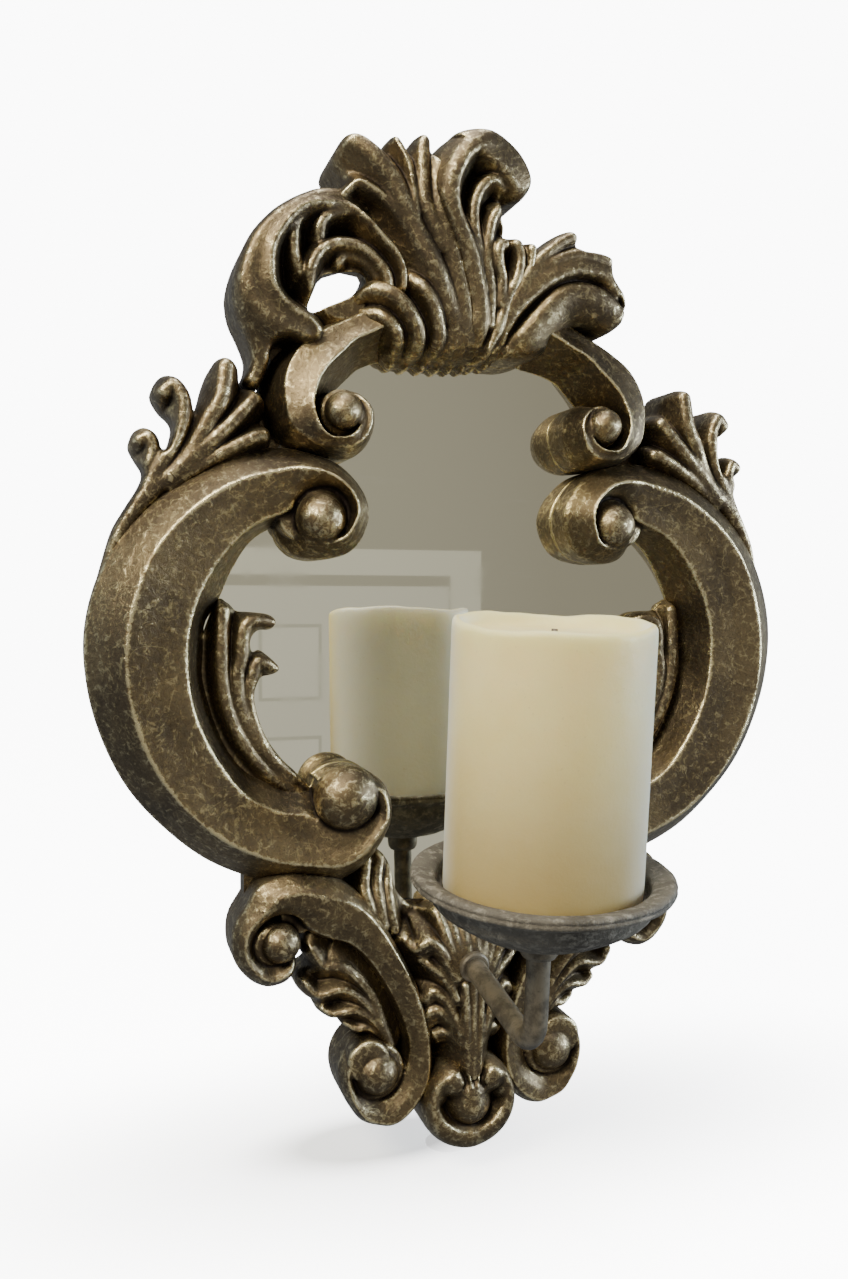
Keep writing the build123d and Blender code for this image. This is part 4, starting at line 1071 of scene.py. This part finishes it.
for name, shape, voxel in (("c_scroll", main_scroll, 0.7), ("upper_scroll", upper_scroll, 0.55),
                           ("s_scroll", lower_scroll, 0.55), ("side_sprig", side_sprig, 0.5),
                           ("inner_sprig", inner_sprig, 0.4), ("lower_leaf", lower_leaf, 0.4)):
    for hand, made in (("left", shape), ("right", flip(shape))):
        make_casting(f"{name}_{hand}_cast", made, paint["bronze"], [f"{name}_{hand}"], voxel)
for name, shape, *more in (("crest_leaf_left", crest_leaf_left), ("crest_leaf_right", crest_leaf_right),
                           ("crest_plume", crest_plume, "crest_band"), ("crest_curl", crest_curl),
                           ("palmette", palmette), ("bottom_shell", bottom_shell)):
    make_casting(f"{name}_cast", shape, paint["bronze"], [name, *more], 0.5)

WICK_RADIUS, ARM_RADIUS = 0.0011, 0.00475
WICK_FOOT, WICK_STEP, WICK_BEND, WICK_BEND_START = 70, 3.2, 0.12, 5
wick_line = [DISH + UPWARD * ((WICK_FOOT + WICK_STEP * i) * MM)
             + SIDE * (WICK_BEND * max(i - WICK_BEND_START, 0) ** 1.5 * MM) for i in range(8)]
candle_shape = turned(candle_profile(), candle_wobble, 240)
wick_shape = tube(wick_line, WICK_RADIUS, lambda i: 0.00012 * math.sin(2.1 * i), 16)
arm_shape = tube(arm_route(), ARM_RADIUS, lambda i: 0.00006 * math.sin(2.3 * i))
for name, shape, key, body, slot, stands_for in (
        ("candle_wax", candle_shape, "wax", "candle", "wax", "candle"),
        ("wick_charred", wick_shape, "wick", "candle", "wick_cotton", "wick"),
        ("drip_dish_painted", turned(DISH_PROFILE, dish_wobble), "dish", "root", "dish_paint", "drip_dish"),
        ("candle_arm_painted", arm_shape, "arm", "root", "arm_bronze", "candle_arm")):
    declare(add_object(name, *shape, SAME_PLACE), paint[key], body, [stands_for])

NODE_PAINT = {
    "back": ("frame_back",), "mirror": ("mirror_glass",), "board": ("backing_board",),
    "steel": ("button_screws", "hanger_left", "hanger_right", "hanger_screws", "arm_washer", "arm_nut",
              "dish_screw", *[f"turn_button_{i}" for i in range(1, 5)]),
    "arm": ("ferrule", "socket_ring")}
for key, names in NODE_PAINT.items():
    for name in names:
        for slot_of_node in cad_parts[name].material_slots:
            slot_of_node.link = "OBJECT"
            slot_of_node.material = paint[key]


# ---- stage and lights ----------------------------------------------------------------------------
FLOOR = cad_box[0][2] - 0.012     # the sconce ends a little above the floor
FLOOR_GLOW = 10.0


def far_from(tree, place, centre, reach):
    """How far a place on the floor lies from a centre, as a part of the reach along x and y."""
    from_centre = {0: place, 1: (*centre, FLOOR)}
    near = node(tree, "ShaderNodeVectorMath", from_centre, operation="SUBTRACT").outputs[0]
    in_parts = {0: near, 1: (1 / reach[0], 1 / reach[1], 0)}
    part = node(tree, "ShaderNodeVectorMath", in_parts, operation="MULTIPLY").outputs[0]
    return node(tree, "ShaderNodeVectorMath", {0: part}, operation="LENGTH").outputs["Value"]


def studio_bowl():
    """A pale glowing floor that sweeps up into a round wall. It lights nothing, and a soft shadow of the
    sconce is painted into its glow under the frame."""
    flat, bend, rim, sides = 3.0, 1.5, 5.0, 96
    line = [(0.01, FLOOR), (flat, FLOOR)]
    line += [(flat + bend * math.sin(a), FLOOR + bend - bend * math.cos(a))
             for a in np.linspace(0.1, math.pi / 2, 12)]
    line += [(flat + bend, rim)]
    verts = [(r * math.cos(a), r * math.sin(a), z) for r, z in line for a in turns(sides)]
    mesh = bpy.data.meshes.new("floor")
    walls = skin(len(line), sides)[:-2]
    mesh.from_pydata(verts, [], walls + [tuple(range(sides))])
    mesh.polygons.foreach_set("use_smooth", [True] * len(mesh.polygons))
    made, tree, place = start_material("floor")
    colour = mix(tree, noise(tree, place, 3, 3), (0.9, 0.9, 0.9), (0.93, 0.93, 0.93))
    # Painted shadow: the glow is darkened under the sconce in a close dark core and a wide faint spread.
    close, wide = (spread(tree, far_from(tree, place, centre, reach), 0, 1, depth, 0)
                   for centre, reach, depth in (((-0.035, 0.012), (0.08, 0.035), 0.45),
                                                ((0.0, 0.01), (0.38, 0.15), 0.78)))
    glow_with_painted_shadow = mix(tree, math_node(tree, "ADD", close, wide), (1, 1, 1), (0.1, 0.1, 0.1))
    mesh.materials.append(finish(made, colour, 0.9, Emission_Color=glow_with_painted_shadow, Emission_Strength=FLOOR_GLOW))
    bowl = bpy.data.objects.new("floor", mesh)
    bpy.context.scene.collection.objects.link(bowl)
    bowl.visible_glossy = bowl.visible_diffuse = bowl.visible_shadow = False


studio_bowl()


def room_card(name, x0, z0, x1, z1, y, colour, glow):
    """An upright card behind the camera, given in metres, that only the mirror and the gloss see."""
    mesh = bpy.data.meshes.new(name)
    mesh.from_pydata([(x0, y, z0), (x1, y, z0), (x1, y, z1), (x0, y, z1)], [], [(0, 1, 2, 3)])
    made, colour = start_material(name)[0], (*colour, 1)
    mesh.materials.append(finish(made, colour, 0.9, Emission_Color=colour, Emission_Strength=glow))
    card = bpy.data.objects.new(name, mesh)
    bpy.context.scene.collection.objects.link(card)
    card.visible_camera = card.visible_shadow = card.visible_diffuse = False


# A wall, and on it a panelled door in its trim.
GLOW, PAINTED, PANEL_EDGE = 0.75, (0.50, 0.48, 0.42), 0.008
room_card("wall_card", -4, -3.0, 7, 3, -2.02, (0.36, 0.335, 0.285), 0.55)
room_card("door_trim_top", 0.10, 0.036, 0.79, 0.098, -2.0, PAINTED, GLOW)
room_card("door_trim_side", 0.71, -1.6, 0.79, 0.098, -1.995, PAINTED, GLOW)
room_card("door_leaf", 0.10, -1.6, 0.71, 0.01, -2.005, (0.48, 0.46, 0.41), GLOW)
for number, (x0, z0, x1, z1) in enumerate(((0.24, -0.26, 0.39, -0.08), (0.46, -0.26, 0.61, -0.08),
                                           (0.24, -0.85, 0.39, -0.345), (0.46, -0.85, 0.61, -0.345))):
    room_card(f"door_groove_{number}", x0, z0, x1, z1, -2.003, (0.36, 0.345, 0.30), GLOW)
    room_card(f"door_panel_{number}", x0 + PANEL_EDGE, z0 + PANEL_EDGE, x1 - PANEL_EDGE, z1 - PANEL_EDGE,
              -2.001, (0.50, 0.48, 0.43), GLOW)


def area_light(name, place, size, power, colour=(1, 1, 1), target=(0, 0, 0)):
    """A soft square light aimed at a point. size is in metres and power in watts."""
    data = bpy.data.lights.new(name, "AREA")
    data.size = size
    data.energy = power
    data.color = colour
    lamp = bpy.data.objects.new(name, data)
    lamp.location = place
    lamp.rotation_euler = (Vector(target) - Vector(place)).to_track_quat("-Z", "Y").to_euler()
    bpy.context.scene.collection.objects.link(lamp)


area_light("key", (-1.0, -0.9, 1.1), size=0.6, power=42, colour=(1.0, 0.925, 0.73))
area_light("fill", (1.5, -0.5, 0.1), size=0.5, power=25, colour=(0.74, 0.87, 1.0))
area_light("top", (0.0, -0.1, 1.3), size=0.6, power=13)
area_light("bounce", (-0.9, 0.35, 0.1), size=0.5, power=0.7, colour=(0.9, 1.0, 0.93), target=(0, -0.1, 0))

world = bpy.data.worlds.new("studio")
bpy.context.scene.world = world
world.use_nodes = True
sky = world.node_tree.nodes["Background"]
sky.inputs["Color"].default_value = (0.86, 0.93, 1, 1)
sky.inputs["Strength"].default_value = 0.3
